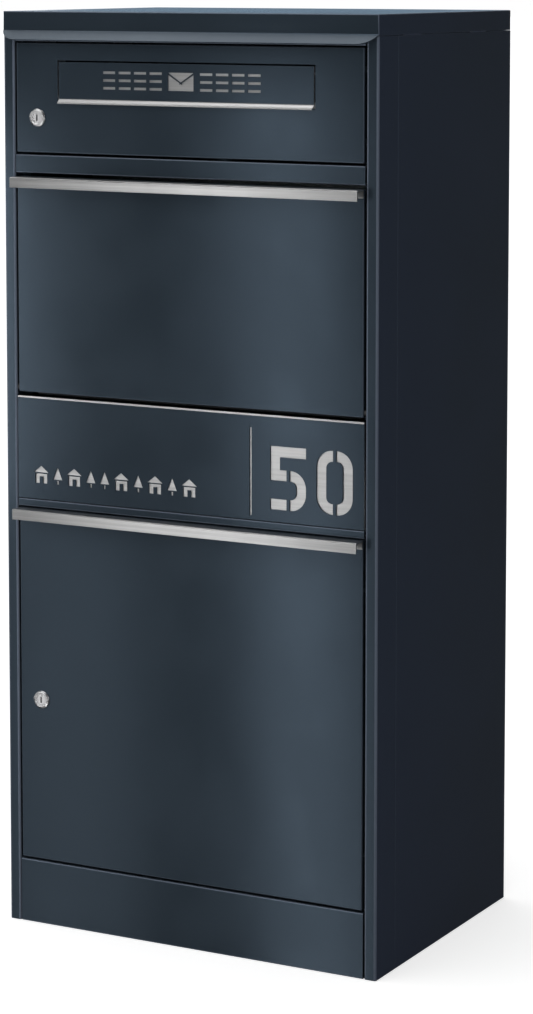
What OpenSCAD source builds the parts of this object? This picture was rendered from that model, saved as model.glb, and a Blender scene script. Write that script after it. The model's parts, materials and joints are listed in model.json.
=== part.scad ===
// Free-standing parcel and letter cabinet of folded sheet steel.
// Front faces -Y, +Z is up, the origin is on the floor at the middle of the four anchor holes.
// Top to bottom: letter compartment with a flap in its door, tilting parcel door with a drop
// tray, fixed address panel, collection door and plinth.

/* [Overall size] */
// Width of the cabinet across the front
body_w = 495; // [485:5:640]
// Depth of the cabinet from the front face to the rear panel
body_d = 360; // [300:5:520]
// Height of the cabinet from the floor to the roof
body_h = 1100; // [900:5:1500]

/* [Sheet metal] */
// Sheet thickness of the carcass
shell_t = 1.5; // [1:0.1:2]
// Sheet thickness of the three doors
door_t = 1.5; // [1:0.1:1.7]
// Thickness of the painted face plates on the flap and the address panel
face_t = 1.5; // [1:0.1:2]
// Thickness of the stainless plates behind the face plates
backing_t = 1.2; // [0.8:0.1:1.5]
// Inside radius of the bends on the corner posts
bend_in = 1; // [0.5:0.25:2]
// Thickness of the base plate
base_t = 2; // [1.5:0.5:5]

/* [Front layout] */
// Height of the roof's front fascia
fascia_h = 24; // [18:1:45]
// Height of the header strip under the fascia
header_h = 11; // [10:1:25]
// Height of the letter door
letter_door_h = 129; // [125:1:220]
// Height of the strip between the letter door and the parcel door
upper_rail_h = 21.5; // [8:0.5:40]
// Height of the parcel door
parcel_door_h = 257; // [225:1:300]
// Height of the address face plate
address_h = 120.5; // [112:0.5:200]
// Height of the strip between the address panel and the collection door
middle_rail_h = 9; // [7:0.5:30]
// Height of the plinth
plinth_h = 77; // [50:1:150]

/* [Seams] */
// Gap between a door and the post beside it
side_gap = 3; // [2.5:0.1:5]
// Gap under the letter door and under the collection door
sill_gap = 3; // [2:0.1:5]
// Gap over the letter door and over the collection door
head_gap = 2; // [1.5:0.1:5]
// Gap over the parcel door
parcel_head_gap = 4.5; // [2:0.1:8]
// Gap under the parcel door
parcel_sill_gap = 5; // [4:0.1:8]
// Gap around the fixed plates and strips at their ends
plate_gap = 1.5; // [0.5:0.1:3]
// Seam between the address plate and the strip under it
plate_seam = 1; // [0.5:0.1:3]
// Seam between neighbouring carcass sheets
sheet_seam = 0.4; // [0.2:0.1:1]

/* [Posts] */
// Width of a corner post's front face
post_w = 15; // [12:0.5:25]
// Depth that a corner post wraps round the side
post_wrap = 50; // [45:1:90]
// Depth of the post's jamb behind the front face
jamb_d = 18; // [17:0.5:22]
// Width of the stop flange that the doors close against
stop_w = 10; // [8:0.5:14]
// Depth of the sheet returns around each door
door_return = 15; // [12:0.5:15.5]

/* [Roof] */
// Length of the drip flange along its slope
drip_l = 15.3; // [8:0.1:25]
// Slope of the drip flange below the horizontal, in degrees
drip_slope = 40.8; // [25:0.1:60]
// Radius of the drip flange's front corners
drip_corner_r = 24; // [16:1:40]

/* [Hinges] */
// Distance of a side hinge axis beyond the door's edge, inside the post
hinge_out = 10; // [9.5:0.1:10.5]
// Distance of a side hinge axis behind the front face
hinge_back = 8; // [7.5:0.1:8.5]
// Radius of the side hinge pins
side_pin_r = 2.5; // [2:0.1:3]
// Distance of the letter door's hinge arms from its upper and lower edges
letter_arm_end = 24; // [20:1:35]
// Distance of the collection door's hinge arms from its upper and lower edges
collection_arm_end = 60; // [30:5:100]
// Radius of the parcel door's hinge pins
pin_r = 2; // [1.5:0.1:2.2]
// Distance of the parcel door's hinge axis from its lower edge and from its face
parcel_hinge_inset = 5; // [4.5:0.1:6]
// Radial clearance of a pin or lock plug that turns
run_gap = 0.05; // [0.02:0.01:0.09]
// Radial clearance of a pin or screw that is fixed in its hole
fix_gap = 0.02; // [0.01:0.01:0.05]
// Outer radius of the nylon hinge washers
washer_r = 3.6; // [3.2:0.1:3.7]
// Gap left at a soft seat, such as a washer or a buffer
seat_gap = 0.3; // [0.2:0.05:0.5]

/* [Letter flap] */
// Width of the flap in the letter door
flap_w = 337; // [240:1:340]
// Height of the flap's face plate
flap_h = 43; // [40:1:60]
// Distance of the flap's top edge below the letter door's top edge
flap_drop = 22; // [15:1:40]
// Offset of the flap's middle from the cabinet's middle
flap_offset = -2; // [-4:0.5:4]
// Gap between the flap and the door around it
flap_gap = 2; // [1.5:0.1:3]
// Forward reach of the stainless pull lip
lip_reach = 5; // [3:0.5:12]
// Height of the pull lip
lip_h = 6; // [4:0.5:10]
// Radius of the flap's hinge rod
rod_r = 1.25; // [1:0.05:1.5]
// Distance of the flap's hinge rod below the flap's top edge
rod_drop = 8; // [7:0.5:10]

/* [Handles] */
// Forward reach of a handle from the door face
handle_reach = 17; // [12:0.5:25]
// Height of the handle's front leg, with its top
handle_front_h = 12.5; // [8:0.5:25]
// Height of the leg on the door face, with the top
handle_back_h = 10; // [6:0.5:20]
// Sheet thickness of the handles
handle_t = 1.5; // [1:0.1:3]

/* [Locks] */
// Distance of the lock axes from the cabinet's left side
lock_side = 47.4; // [44:0.1:50]
// Height of the letter lock above its door's lower edge
letter_lock_rise = 41; // [35:1:45]
// Height of the collection lock above its door's lower edge
collection_lock_rise = 196; // [60:1:200]
// Radius of the lock's rosette
rosette_r = 10.75; // [10:0.05:14]
// Radius of the lock's threaded barrel
barrel_r = 9; // [8:0.1:9.5]
// Radius of the lock's turning plug
plug_r = 6; // [5:0.1:7]
// Length of the cam from the lock axis to its tip
cam_l = 30; // [28:0.5:31]

/* [Parcel chute] */
// Opening angle of the parcel door, which is also the slope of the closed tray
parcel_open = 50; // [35:1:55]
// Length of the tray's sloping part
tray_l = 165; // [120:5:170]
// Radius of the tray's side cheeks about the hinge
cheek_r = 178; // [176:1:185]
// Distance of the fixed guard behind the front face
guard_y = 196; // [192:1:220]
// Distance of the guard's lower edge below the parcel door's hinge
guard_drop = 13; // [5:1:40]

/* [Fixing holes] */
// Radius of the floor anchor holes
anchor_r = 5.5; // [4:0.25:8]
// Spacing of the floor anchor holes across the width
anchor_x = 380; // [300:5:400]
// Spacing of the floor anchor holes along the depth
anchor_y = 220; // [160:5:230]
// Radius of the wall fixing holes in the rear panel
wall_r = 4.5; // [3:0.25:6]
// Spacing of the wall fixing holes across the width
wall_x = 300; // [200:5:380]
// Distance of the upper wall holes below the roof
wall_top = 100; // [60:5:110]
// Height of the lower wall holes above the floor
wall_low = 300; // [150:5:400]

/* [Cut-outs] */
// Height of the house number's digits
digit_h = 73.5; // [60:0.5:90]
// Width of one digit
digit_w = 46; // [40:0.5:50]
// Stroke width of the digits
digit_stroke = 12.5; // [9:0.5:14]
// Width of the bridges that hold the digits' inner islands
digit_bridge = 4; // [2:0.5:6]
// Space between the two digits
digit_gap = 13.5; // [6:0.5:20]
// Distance of the digits from the right edge of the address plate
digit_side = 14.5; // [8:0.5:30]
// Height of the digits above the plate's lower edge
digit_rise = 14; // [8:0.5:20]
// Height of the row of small picture cut-outs
icon_h = 21; // [15:0.5:26]
// Space between neighbouring picture cut-outs
icon_gap = 6; // [3:0.5:9]
// Distance of the picture row from the left edge of the address plate
icon_side = 21.5; // [15:0.5:40]
// Height of the picture row above the plate's lower edge
icon_rise = 19; // [10:0.5:60]

/* [Hidden] */
$fn = 48;
// Overshoot of a cut past the face that it opens
cut_over = 1;

PAINT = [0.20, 0.24, 0.29];
PAINT_ROOF = [0.26, 0.31, 0.38];
STAINLESS = [0.78, 0.78, 0.77];
CHROME = [0.85, 0.86, 0.88];
ZINC = [0.62, 0.64, 0.66];
RUBBER = [0.05, 0.05, 0.05];
NYLON = [0.12, 0.12, 0.13];

// Heights of the front's parts, from the roof down to the collection door
front_y = -body_d / 2;
fascia_z = body_h - fascia_h;
header_z = fascia_z - header_h;
letter_top = header_z - head_gap;
letter_z = letter_top - letter_door_h;
upper_rail_top = letter_z - sill_gap;
upper_rail_z = upper_rail_top - upper_rail_h;
parcel_top = upper_rail_z - parcel_head_gap;
parcel_z = parcel_top - parcel_door_h;
address_lip_h = 2.5;
address_lip_top = parcel_z - parcel_sill_gap;
address_top = address_lip_top - address_lip_h;
address_z = address_top - address_h;
middle_rail_top = address_z - plate_seam;
middle_rail_z = middle_rail_top - middle_rail_h;
collection_top = middle_rail_z - head_gap;
collection_z = plinth_h + sill_gap;

// Half widths, measured from the middle of the cabinet
wall_in = body_w / 2 - shell_t;
jamb_x = body_w / 2 - post_w;
stop_x = jamb_x - stop_w;
door_x = jamb_x - side_gap;
plate_x = jamb_x - plate_gap;
inner_x = wall_in - shell_t;

// Depths behind the front face
stop_back = jamb_d + shell_t;
rear_in = body_d - shell_t;
inner_back = rear_in - shell_t;
rear_flange = 18;
// Spare depth of the drip flange's root in the fascia sheet
drip_root = 0.2;
// Distance of the drip flange's ends from the cabinet's sides
drip_end = 0.3;
tongue_l = 12;
tongue_lap = 3;
// Depth at which a web widens from the strip's width to the jambs
web_step = 5;

// Hinges
side_hinge_x = door_x + hinge_out;
pin_over = 1;
arm_t = 5;
arm_w = 4;
arm_boss_r = 4.5;
arm_clear = 1.5;
arm_reach = door_return - hinge_back + arm_clear + arm_w;
window_y = 3;
window_margin = 1.5;
bracket_t = 2;
bracket_web = 1.5;
parcel_hinge_z = parcel_z + parcel_hinge_inset;
parcel_pin_in = 7.5;

// Letter flap and its chute
flap_top = letter_top - flap_drop;
flap_z = flap_top - flap_h;
flap_back = face_t + backing_t;
knuckle_r = 2.4;
// Overlap of the knuckles with the plate that they are formed on
knuckle_sink = 0.5;
rod_y = flap_back + knuckle_r - knuckle_sink;
rod_z = flap_top - rod_drop;
knuckle_l = 12;
knuckle_side = 3;
aperture_x = flap_w / 2 + flap_gap;
aperture_top = flap_top + flap_gap;
lip_room = 4.5;
aperture_z = flap_z - lip_room;
chute_t = 1.2;
chute_d = 18;
chute_ledge_h = 7.5;

// Locks: depths are along the lock axis, outward from the door face
lock_x = -body_w / 2 + lock_side;
letter_lock_z = letter_z + letter_lock_rise;
collection_lock_z = collection_z + collection_lock_rise;
rosette_t = 2.6;
rosette_rim = 1;
rosette_chamfer = 0.8;
rosette_flat = 1.6;
brow_t = 0.9;
brow_in = 0.6;
brow_w = 0.3;
brow_shift = 2.4;
plug_in = 0.4;
cam_gap = 1;
cam_t = 3;
cam_w = 12;
cam_in = -stop_back - cam_gap;
barrel_back = cam_in + cam_gap;
nut_r = 12.5;
nut_t = 3;
drive_w = 7;
cam_screw_r = 2;
cam_screw_l = 8;
cam_screw_head_r = 5.5;
cam_screw_head_t = 2.5;
driver_slot_w = 1.2;
driver_slot_d = 1;
cam_screw_root = 1;

// Parcel tray
tray_side = 7.5;
tray_x = stop_x - tray_side;
tray_t = 1.5;
tray_clear = 1;
tray_bend = 0.7;
tray_y = door_return + tray_clear;
tray_z = parcel_z + door_t + tray_t;
tray_flange_y = 3;
tray_rivets = 5;
rivet_end = 25;
rivet_r = 2;
rivet_head_r = 3.6;
rivet_head_t = 1;
guard_flange = 15;
cheek_tab_l = 30;
cheek_tab_w = 13;
cheek_tab_z = 120;

// Small fixings
csk_r = 4;
csk_depth = 1.2;
screw_r = 2;
screw_l = 9;
screws_per_side = 5;
screw_end = 100;
stud_r = 2;
stud_l = 7;
stud_nut_r = 4;
stud_nut_t = 3.2;
// Distances of the studs from the plate's left, right, lower and upper edges
stud_left = 22;
stud_right = 8;
stud_low = 8;
stud_high = 6;
shelf_clear = 1;
shelf_rear_x = body_w / 2 - rear_flange - shelf_clear;
shelf_corner_y = inner_back - screw_l;
buffer_r = 4;
buffer_end = 22;
cleat_leg = 22;
cleat_w = 15;
cleat_end = 90;

// A street of small pictures, from left to right
STREET = ["house", "tree", "house", "tree", "tree", "house", "tree", "house", "tree", "house"];
house_w = 21;
tree_w = 13;
function icon_w(kind) = kind == "house" ? house_w : tree_w;
function icon_x(i) = i == 0 ? 0 : icon_x(i - 1) + icon_w(STREET[i - 1]) + icon_gap;

// ---------------------------------------------------------------- helpers

// Everything on the front is drawn with y = 0 at the front face and y growing backwards
module at_front() {
    translate([0, front_y, 0]) children();
}

// A box from its lowest to its highest corner
module slab(low, high) {
    translate(low) cube(high - low);
}

// The children and their mirror image across the cabinet's middle
module both_sides() {
    children();
    mirror([1, 0, 0]) children();
}

// A hole upwards through a sheet that stands on z = 0
module hole_up(t, r) {
    translate([0, 0, -cut_over]) cylinder(h = t + 2 * cut_over, r = r);
}

// Children placed on a lock's axis, with +Z pointing out of the door
module on_lock_axis(z) {
    at_front() translate([lock_x, 0, z]) rotate([90, 0, 0]) children();
}

// A cylinder along X between two x positions
module bar_x(x0, x1, r, y, z) {
    translate([x0, y, z]) rotate([0, 90, 0]) cylinder(h = x1 - x0, r = r);
}

// A quarter of a bent sheet about its bend axis, towards -x and -y
module bend_quarter(r_out, t) {
    intersection() {
        difference() {
            circle(r_out);
            circle(r_out - t);
        }
        translate([-r_out, -r_out]) square(r_out);
    }
}

// A rectangle with round corners, from the origin
module round_rect(w, h, r) {
    translate([r, 0]) square([w - 2 * r, h]);
    translate([0, r]) square([w, h - 2 * r]);
    for (x = [r, w - r], y = [r, h - r]) translate([x, y]) circle(r);
}

// Flat art in x and z, cut or raised between two depths
module art(y0, y1) {
    translate([0, y1, 0]) rotate([90, 0, 0]) linear_extrude(y1 - y0) children();
}

// ---------------------------------------------------------------- carcass

// Plan of the left post, from the cabinet's left front corner
module post_plan() {
    bend_r = bend_in + shell_t;
    translate([bend_r, bend_r]) bend_quarter(bend_r, shell_t);
    translate([post_w - bend_r, bend_r]) mirror([1, 0]) bend_quarter(bend_r, shell_t);
    translate([bend_r, 0]) square([post_w - 2 * bend_r, shell_t]);
    translate([0, bend_r]) square([shell_t, post_wrap - bend_r]);
    translate([post_w - shell_t, bend_r]) square([shell_t, stop_back - bend_r]);
    translate([post_w - shell_t, jamb_d]) square([stop_w + shell_t, shell_t]);
}

module front_post() {
    difference() {
        translate([-body_w / 2, 0, 0]) linear_extrude(fascia_z - sheet_seam) post_plan();
        // The parcel door's hinge pin turns in the jamb
        bar_x(-jamb_x - 2 * shell_t, -jamb_x + cut_over, pin_r + run_gap,
            parcel_hinge_inset, parcel_hinge_z);
    }
}

module left_front_post() {
    color(PAINT) at_front() front_post();
}

module right_front_post() {
    half = arm_t / 2 + window_margin;
    color(PAINT) at_front() difference() {
        mirror([1, 0, 0]) front_post();
        // Windows in the jamb that the hinge arms swing through
        for (z = side_hinge_heights()) slab([stop_x - cut_over, window_y, z - half],
            [jamb_x + shell_t + cut_over, stop_back + cut_over, z + half]);
    }
}

// ---------------------------------------------------------------- side hinges

// Heights of the hinge arms of a side-hung door
function arm_heights(z0, z1, end) = [z0 + end, z1 - end];
function letter_arms() = arm_heights(letter_z, letter_top, letter_arm_end);
function collection_arms() = arm_heights(collection_z, collection_top, collection_arm_end);
function side_hinge_heights() = concat(letter_arms(), collection_arms());

// Hooked arms: from the pin back behind the jamb, then forward along the door's return
module hinge_arms(heights) {
    edge = -hinge_out - door_t;
    color(ZINC) at_front() for (z = heights)
        translate([side_hinge_x, hinge_back, z - arm_t / 2]) difference() {
            linear_extrude(arm_t) {
                circle(arm_boss_r);
                translate([-arm_w / 2, 0]) square([arm_w, arm_reach]);
                translate([edge - arm_w, arm_reach - arm_w])
                    square([arm_w / 2 + arm_w - edge, arm_w]);
                translate([edge - arm_w, door_t - hinge_back])
                    square([arm_w, arm_reach + hinge_back - door_t]);
            }
            hole_up(arm_t, side_pin_r + run_gap);
        }
}

// U-shaped brackets inside the right post, one round each hinge arm
module side_hinge_brackets() {
    half = arm_t / 2 + seat_gap;
    web_x = wall_in - bracket_web;
    color(ZINC) at_front() for (z = side_hinge_heights()) difference() {
        union() {
            for (z0 = [z - half - bracket_t, z + half])
                slab([side_hinge_x - arm_boss_r, hinge_back - arm_boss_r, z0],
                    [wall_in, hinge_back + arm_boss_r, z0 + bracket_t]);
            slab([web_x, hinge_back - arm_boss_r, z - half - bracket_t],
                [wall_in, hinge_back + arm_boss_r, z + half + bracket_t]);
        }
        translate([side_hinge_x, hinge_back, z]) cylinder(h = 4 * half, r = side_pin_r + fix_gap,
            center = true);
    }
}

module side_hinge_pins() {
    reach = arm_t / 2 + seat_gap + bracket_t;
    color(ZINC) at_front() for (z = side_hinge_heights())
        translate([side_hinge_x, hinge_back, z - reach]) cylinder(h = 2 * reach, r = side_pin_r);
}

// Plan of the left side panel: the sheet, the tongue behind the post and the rear flange
module side_plan() {
    start = post_wrap + sheet_seam;
    translate([0, start]) square([shell_t, rear_in - start]);
    translate([shell_t, post_wrap - tongue_l])
        square([shell_t, tongue_l + sheet_seam + tongue_lap]);
    translate([0, inner_back]) square([rear_flange, shell_t]);
}

module side_panel() {
    difference() {
        translate([-body_w / 2, 0, 0]) linear_extrude(fascia_z - sheet_seam) side_plan();
        for (z = screw_heights()) rear_screw_at(-1, z) screw_hole();
    }
}

module left_side_panel() {
    color(PAINT) at_front() side_panel();
}

module right_side_panel() {
    color(PAINT) at_front() mirror([1, 0, 0]) side_panel();
}

// Rear screws: heights, place and shape
function screw_heights() = [for (i = [0 : screws_per_side - 1])
    screw_end + i * (fascia_z - 2 * screw_end) / (screws_per_side - 1)];

module rear_screw_at(side, z) {
    translate([side * (body_w / 2 - rear_flange / 2), body_d, z]) rotate([90, 0, 0]) children();
}

module screw_hole() {
    hole_up(screw_l, screw_r + fix_gap);
    cylinder(h = csk_depth, r1 = csk_r, r2 = screw_r + fix_gap);
}

module csk_screw() {
    cross_w = 1.2;
    cross_l = 6;
    cross_d = 0.6;
    difference() {
        union() {
            cylinder(h = screw_l, r = screw_r);
            translate([0, 0, fix_gap])
                cylinder(h = csk_depth - fix_gap, r1 = csk_r - 2 * fix_gap, r2 = screw_r);
        }
        for (turn = [0, 90]) rotate([0, 0, turn])
            slab([-cross_w / 2, -cross_l / 2, -cut_over], [cross_w / 2, cross_l / 2, cross_d]);
    }
}

module rear_panel() {
    color(PAINT) at_front() difference() {
        slab([-body_w / 2, rear_in, 0], [body_w / 2, body_d, fascia_z - sheet_seam]);
        for (side = [-1, 1], z = screw_heights()) rear_screw_at(side, z) screw_hole();
        for (x = [-wall_x / 2, wall_x / 2], z = [wall_low, body_h - wall_top])
            translate([x, body_d, z]) rotate([90, 0, 0]) hole_up(shell_t, wall_r);
    }
}

module rear_panel_screws() {
    color(ZINC) at_front()
        for (side = [-1, 1], z = screw_heights()) rear_screw_at(side, z) csk_screw();
}

// Outline of the drip flange in its own plane: round front corners that end at the cabinet's
// sides on y = 0, and a root behind that line, deep enough to lie inside the fascia sheet
module drip_outline() {
    r = drip_corner_r;
    root = shell_t * tan(drip_slope) + drip_root;
    arc_l = sqrt(r * r - (r - drip_l) * (r - drip_l));
    end = body_w / 2 - drip_end;
    mid = end - arc_l;
    translate([-end, 0]) square([2 * end, root]);
    translate([-mid, -drip_l]) square([2 * mid, drip_l + root]);
    intersection() {
        for (side = [-1, 1]) translate([side * mid, r - drip_l]) circle(r, $fn = 96);
        translate([-end, -drip_l]) square([2 * end, drip_l + root]);
    }
}

module roof_lid() {
    color(PAINT_ROOF) at_front() {
        difference() {
            slab([-body_w / 2, 0, fascia_z], [body_w / 2, body_d, body_h]);
            slab([-wall_in, shell_t, fascia_z - cut_over],
                [wall_in, rear_in, body_h - shell_t]);
        }
        translate([0, 0, fascia_z]) rotate([drip_slope, 0, 0])
            linear_extrude(shell_t) drip_outline();
    }
}

// Short angles that join the roof to the side panels
module roof_cleats() {
    color(ZINC) at_front() both_sides() for (y = [cleat_end, body_d - cleat_end]) {
        slab([wall_in - shell_t, y - cleat_leg, fascia_z - cleat_leg],
            [wall_in, y + cleat_leg, body_h - shell_t]);
        slab([wall_in - cleat_w, y - cleat_leg, body_h - 2 * shell_t],
            [wall_in, y + cleat_leg, body_h - shell_t]);
    }
}

// A horizontal web between the jambs: its front part stays clear of the posts
module web(z) {
    slab([-plate_x, 0, z], [plate_x, web_step, z + shell_t]);
    slab([-jamb_x, web_step, z], [jamb_x, jamb_d, z + shell_t]);
    slab([-stop_x, jamb_d, z], [stop_x, stop_back, z + shell_t]);
}

module header_rail() {
    color(PAINT) at_front() {
        slab([-plate_x, 0, header_z], [plate_x, shell_t, fascia_z - sheet_seam]);
        web(header_z);
        slab([-stop_x, jamb_d, header_z], [stop_x, stop_back, body_h - shell_t]);
    }
}

// A channel between the doors, open to the rear
module rail(z0, z1) {
    slab([-plate_x, 0, z0], [plate_x, shell_t, z1]);
    web(z0);
    web(z1 - shell_t);
}

module upper_rail() {
    color(PAINT) at_front() rail(upper_rail_z, upper_rail_top);
}

module middle_rail() {
    color(PAINT) at_front() rail(middle_rail_z, middle_rail_top);
}

module plinth_panel() {
    color(PAINT) at_front() rail(0, plinth_h);
}

module base_plate() {
    color(PAINT) at_front() difference() {
        slab([-inner_x, stop_back, 0], [inner_x, inner_back, base_t]);
        for (x = [-anchor_x / 2, anchor_x / 2], y = [-anchor_y / 2, anchor_y / 2])
            translate([x, body_d / 2 + y, 0]) hole_up(base_t, anchor_r);
    }
}

// A level sheet between the side panels, notched at the rear clear of the rear flanges' screws
module shelf_plate(top) {
    slab([-inner_x, stop_back, top - shell_t], [inner_x, shelf_corner_y, top]);
    slab([-shelf_rear_x, stop_back, top - shell_t], [shelf_rear_x, rear_in, top]);
}

module compartment_floor() {
    lip = 20;
    top = plinth_h;
    color(PAINT) at_front() {
        shelf_plate(top);
        both_sides()
            slab([inner_x - shell_t, stop_back, top - lip], [inner_x, shelf_corner_y, top]);
        slab([-inner_x, stop_back, top - lip], [inner_x, stop_back + shell_t, top]);
        slab([-shelf_rear_x, rear_in - shell_t, top - lip], [shelf_rear_x, rear_in, top]);
    }
}

module letter_shelf() {
    lip = 15;
    color(PAINT) at_front() {
        shelf_plate(upper_rail_top);
        slab([-inner_x, stop_back, upper_rail_z],
            [inner_x, stop_back + shell_t, upper_rail_top]);
        slab([-shelf_rear_x, rear_in - shell_t, upper_rail_top - shell_t],
            [shelf_rear_x, rear_in, upper_rail_top + lip]);
    }
}

// Fixed sheet behind the parcel tray that keeps hands out of the collection compartment
module parcel_guard() {
    low = parcel_hinge_z - guard_drop;
    high = upper_rail_top - shell_t;
    color(ZINC) at_front() {
        slab([-wall_in, guard_y, low], [wall_in, guard_y + shell_t, high]);
        both_sides() slab([wall_in - shell_t, guard_y, low],
            [wall_in, guard_y + guard_flange, high]);
        slab([-wall_in, guard_y, low], [wall_in, guard_y + guard_flange, low + shell_t]);
    }
}

// ---------------------------------------------------------------- address panel

module address_backing_plate() {
    color(STAINLESS) at_front() difference() {
        union() {
            slab([-plate_x, face_t, address_z], [plate_x, flap_back, address_lip_top]);
            // Lip over the face plate's top edge, standing just proud of it
            slab([-plate_x, -seat_gap, address_top + seat_gap],
                [plate_x, flap_back, address_lip_top]);
            both_sides() slab([plate_x - backing_t, face_t, address_z],
                [plate_x, jamb_d, address_lip_top]);
        }
        stud_places() hole_up(backing_t, stud_r + fix_gap);
    }
}

// The four welded studs that hold the address face plate, axis pointing backwards
module stud_places() {
    for (x = [-plate_x + stud_left, plate_x - stud_right],
        z = [address_z + stud_low, address_top - stud_high])
        translate([x, face_t, z]) rotate([-90, 0, 0]) children();
}

// One digit: a rounded ring, or an upper hook over a lower bowl, with a bridge for islands
module digit_ring(h) {
    corner = 20;
    difference() {
        round_rect(digit_w, h, corner);
        translate([digit_stroke, digit_stroke])
            round_rect(digit_w - 2 * digit_stroke, h - 2 * digit_stroke, corner - digit_stroke);
    }
}

module digit_bridge_cut(h) {
    translate([(digit_w - digit_bridge) / 2, -cut_over])
        square([digit_bridge, h + 2 * cut_over]);
}

module digit_zero() {
    difference() {
        digit_ring(digit_h);
        digit_bridge_cut(digit_h);
    }
}

module digit_five() {
    bowl_share = 0.63;
    bowl_h = digit_h * bowl_share;
    difference() {
        union() {
            difference() {
                digit_ring(bowl_h);
                translate([-cut_over, digit_stroke])
                    square([digit_w / 2 + cut_over, bowl_h]);
            }
            translate([0, bowl_h - digit_stroke]) square([digit_w / 2, digit_stroke]);
            square([digit_w / 2, digit_stroke]);
        }
        digit_bridge_cut(bowl_h);
    }
    translate([0, bowl_h]) square([digit_stroke, digit_h - bowl_h]);
    translate([0, digit_h - digit_stroke]) square([digit_w, digit_stroke]);
}

// Small pictures, each standing on its own baseline
module icon_house() {
    width_share = 0.78;
    height_share = 0.55;
    door_share = 0.7;
    eaves_gap = 1.3;
    door_w = 4.5;
    wall_w = house_w * width_share;
    wall_h = icon_h * height_share;
    door_h = wall_h * door_share;
    difference() {
        translate([(house_w - wall_w) / 2, 0]) square([wall_w, wall_h]);
        translate([(house_w - door_w) / 2, -cut_over]) square([door_w, door_h + cut_over]);
    }
    polygon([[0, wall_h + eaves_gap], [house_w, wall_h + eaves_gap], [house_w / 2, icon_h]]);
}

module icon_tree() {
    trunk_w = 2.6;
    trunk_h = 4.5;
    crown_gap = 1.2;
    translate([(tree_w - trunk_w) / 2, 0]) square([trunk_w, trunk_h]);
    polygon([[0, trunk_h + crown_gap], [tree_w, trunk_h + crown_gap], [tree_w / 2, icon_h]]);
}

// An envelope: a rectangle whose flap is marked by a narrow V left uncut
module icon_envelope(w) {
    line = 1.5;
    point_share = 0.42;
    point_h = icon_h * point_share;
    difference() {
        square([w, icon_h]);
        for (side = [0, 1]) translate([side * w, 0]) mirror([side, 0])
            polygon([[-line, icon_h - line], [-line, icon_h + line], [0, icon_h],
                [w / 2 + line, point_h], [w / 2 + line, point_h - line]]);
    }
}

// Three rows of dashes beside the envelope, like the lines of an address
module dash_rows(w) {
    rows = 3;
    dash_h = 3;
    dashes = 4;
    space = 4;
    dash_w = (w - (dashes - 1) * space) / dashes;
    for (row = [0 : rows - 1], i = [0 : dashes - 1])
        translate([i * (dash_w + space), row * (icon_h - dash_h) / (rows - 1)])
            square([dash_w, dash_h]);
}

module address_cut_outs() {
    divider_w = 2.6;
    divider_h = 102;
    divider_side = 27;
    divider_rise = 5;
    numbers_w = 2 * digit_w + digit_gap;
    left = plate_x - digit_side - numbers_w;
    translate([left, digit_rise]) digit_five();
    translate([left + digit_w + digit_gap, digit_rise]) digit_zero();
    translate([left - divider_side, divider_rise]) square([divider_w, divider_h]);
    for (i = [0 : len(STREET) - 1]) translate([-plate_x + icon_side + icon_x(i), icon_rise]) {
        if (STREET[i] == "house") icon_house();
        else icon_tree();
    }
}

module address_face_plate() {
    color(PAINT) at_front() {
        difference() {
            slab([-plate_x, 0, address_z], [plate_x, face_t, address_top]);
            translate([0, 0, address_z]) art(-cut_over, face_t + cut_over) address_cut_outs();
        }
        stud_places() cylinder(h = stud_l, r = stud_r);
    }
}

module address_plate_nuts() {
    color(ZINC) at_front() stud_places() translate([0, 0, backing_t]) difference() {
        cylinder(h = stud_nut_t, r = stud_nut_r, $fn = 6);
        hole_up(stud_nut_t, stud_r + fix_gap);
    }
}

// ---------------------------------------------------------------- door furniture

// A folded door: front sheet with a return along each edge
module door_pan(z0, z1) {
    slab([-door_x, 0, z0], [door_x, door_t, z1]);
    both_sides() slab([door_x - door_t, 0, z0], [door_x, door_return, z1]);
    slab([-door_x, 0, z0], [door_x, door_return, z0 + door_t]);
    slab([-door_x, 0, z1 - door_t], [door_x, door_return, z1]);
}

// A stainless inverted channel across the top of a door
module handle(top) {
    color(STAINLESS) at_front() {
        slab([-door_x, -handle_reach, top - handle_t], [door_x, 0, top]);
        slab([-door_x, -handle_reach, top - handle_front_h],
            [door_x, handle_t - handle_reach, top]);
        slab([-door_x, -handle_t, top - handle_back_h], [door_x, 0, top]);
    }
}

module lock_hole(z) {
    translate([lock_x, 0, z]) rotate([-90, 0, 0]) hole_up(door_t, barrel_r + fix_gap);
}

// Lock housing: rosette with a raised brow over the keyhole, and the barrel behind it
module lock_housing(z) {
    rim = rosette_rim;
    front = rosette_t + brow_t;
    color(CHROME) on_lock_axis(z) difference() {
        union() {
            rotate_extrude() polygon([[0, 0], [rosette_r, 0], [rosette_r, rim],
                [rosette_r - rosette_chamfer, rim + rosette_chamfer],
                [plug_r + rosette_flat, rosette_t], [0, rosette_t]]);
            linear_extrude(front) difference() {
                circle(rosette_r - brow_in);
                translate([0, -brow_shift]) circle(rosette_r - brow_in - brow_w);
                translate([-rosette_r, -2 * rosette_r]) square(2 * rosette_r);
            }
            translate([0, 0, barrel_back]) cylinder(h = -barrel_back, r = barrel_r);
        }
        translate([0, 0, barrel_back]) hole_up(front - barrel_back, plug_r + run_gap);
    }
}

module lock_nut(z) {
    color(ZINC) on_lock_axis(z) translate([0, 0, -door_t - nut_t]) difference() {
        cylinder(h = nut_t, r = nut_r, $fn = 6);
        hole_up(nut_t, barrel_r + fix_gap);
    }
}

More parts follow.
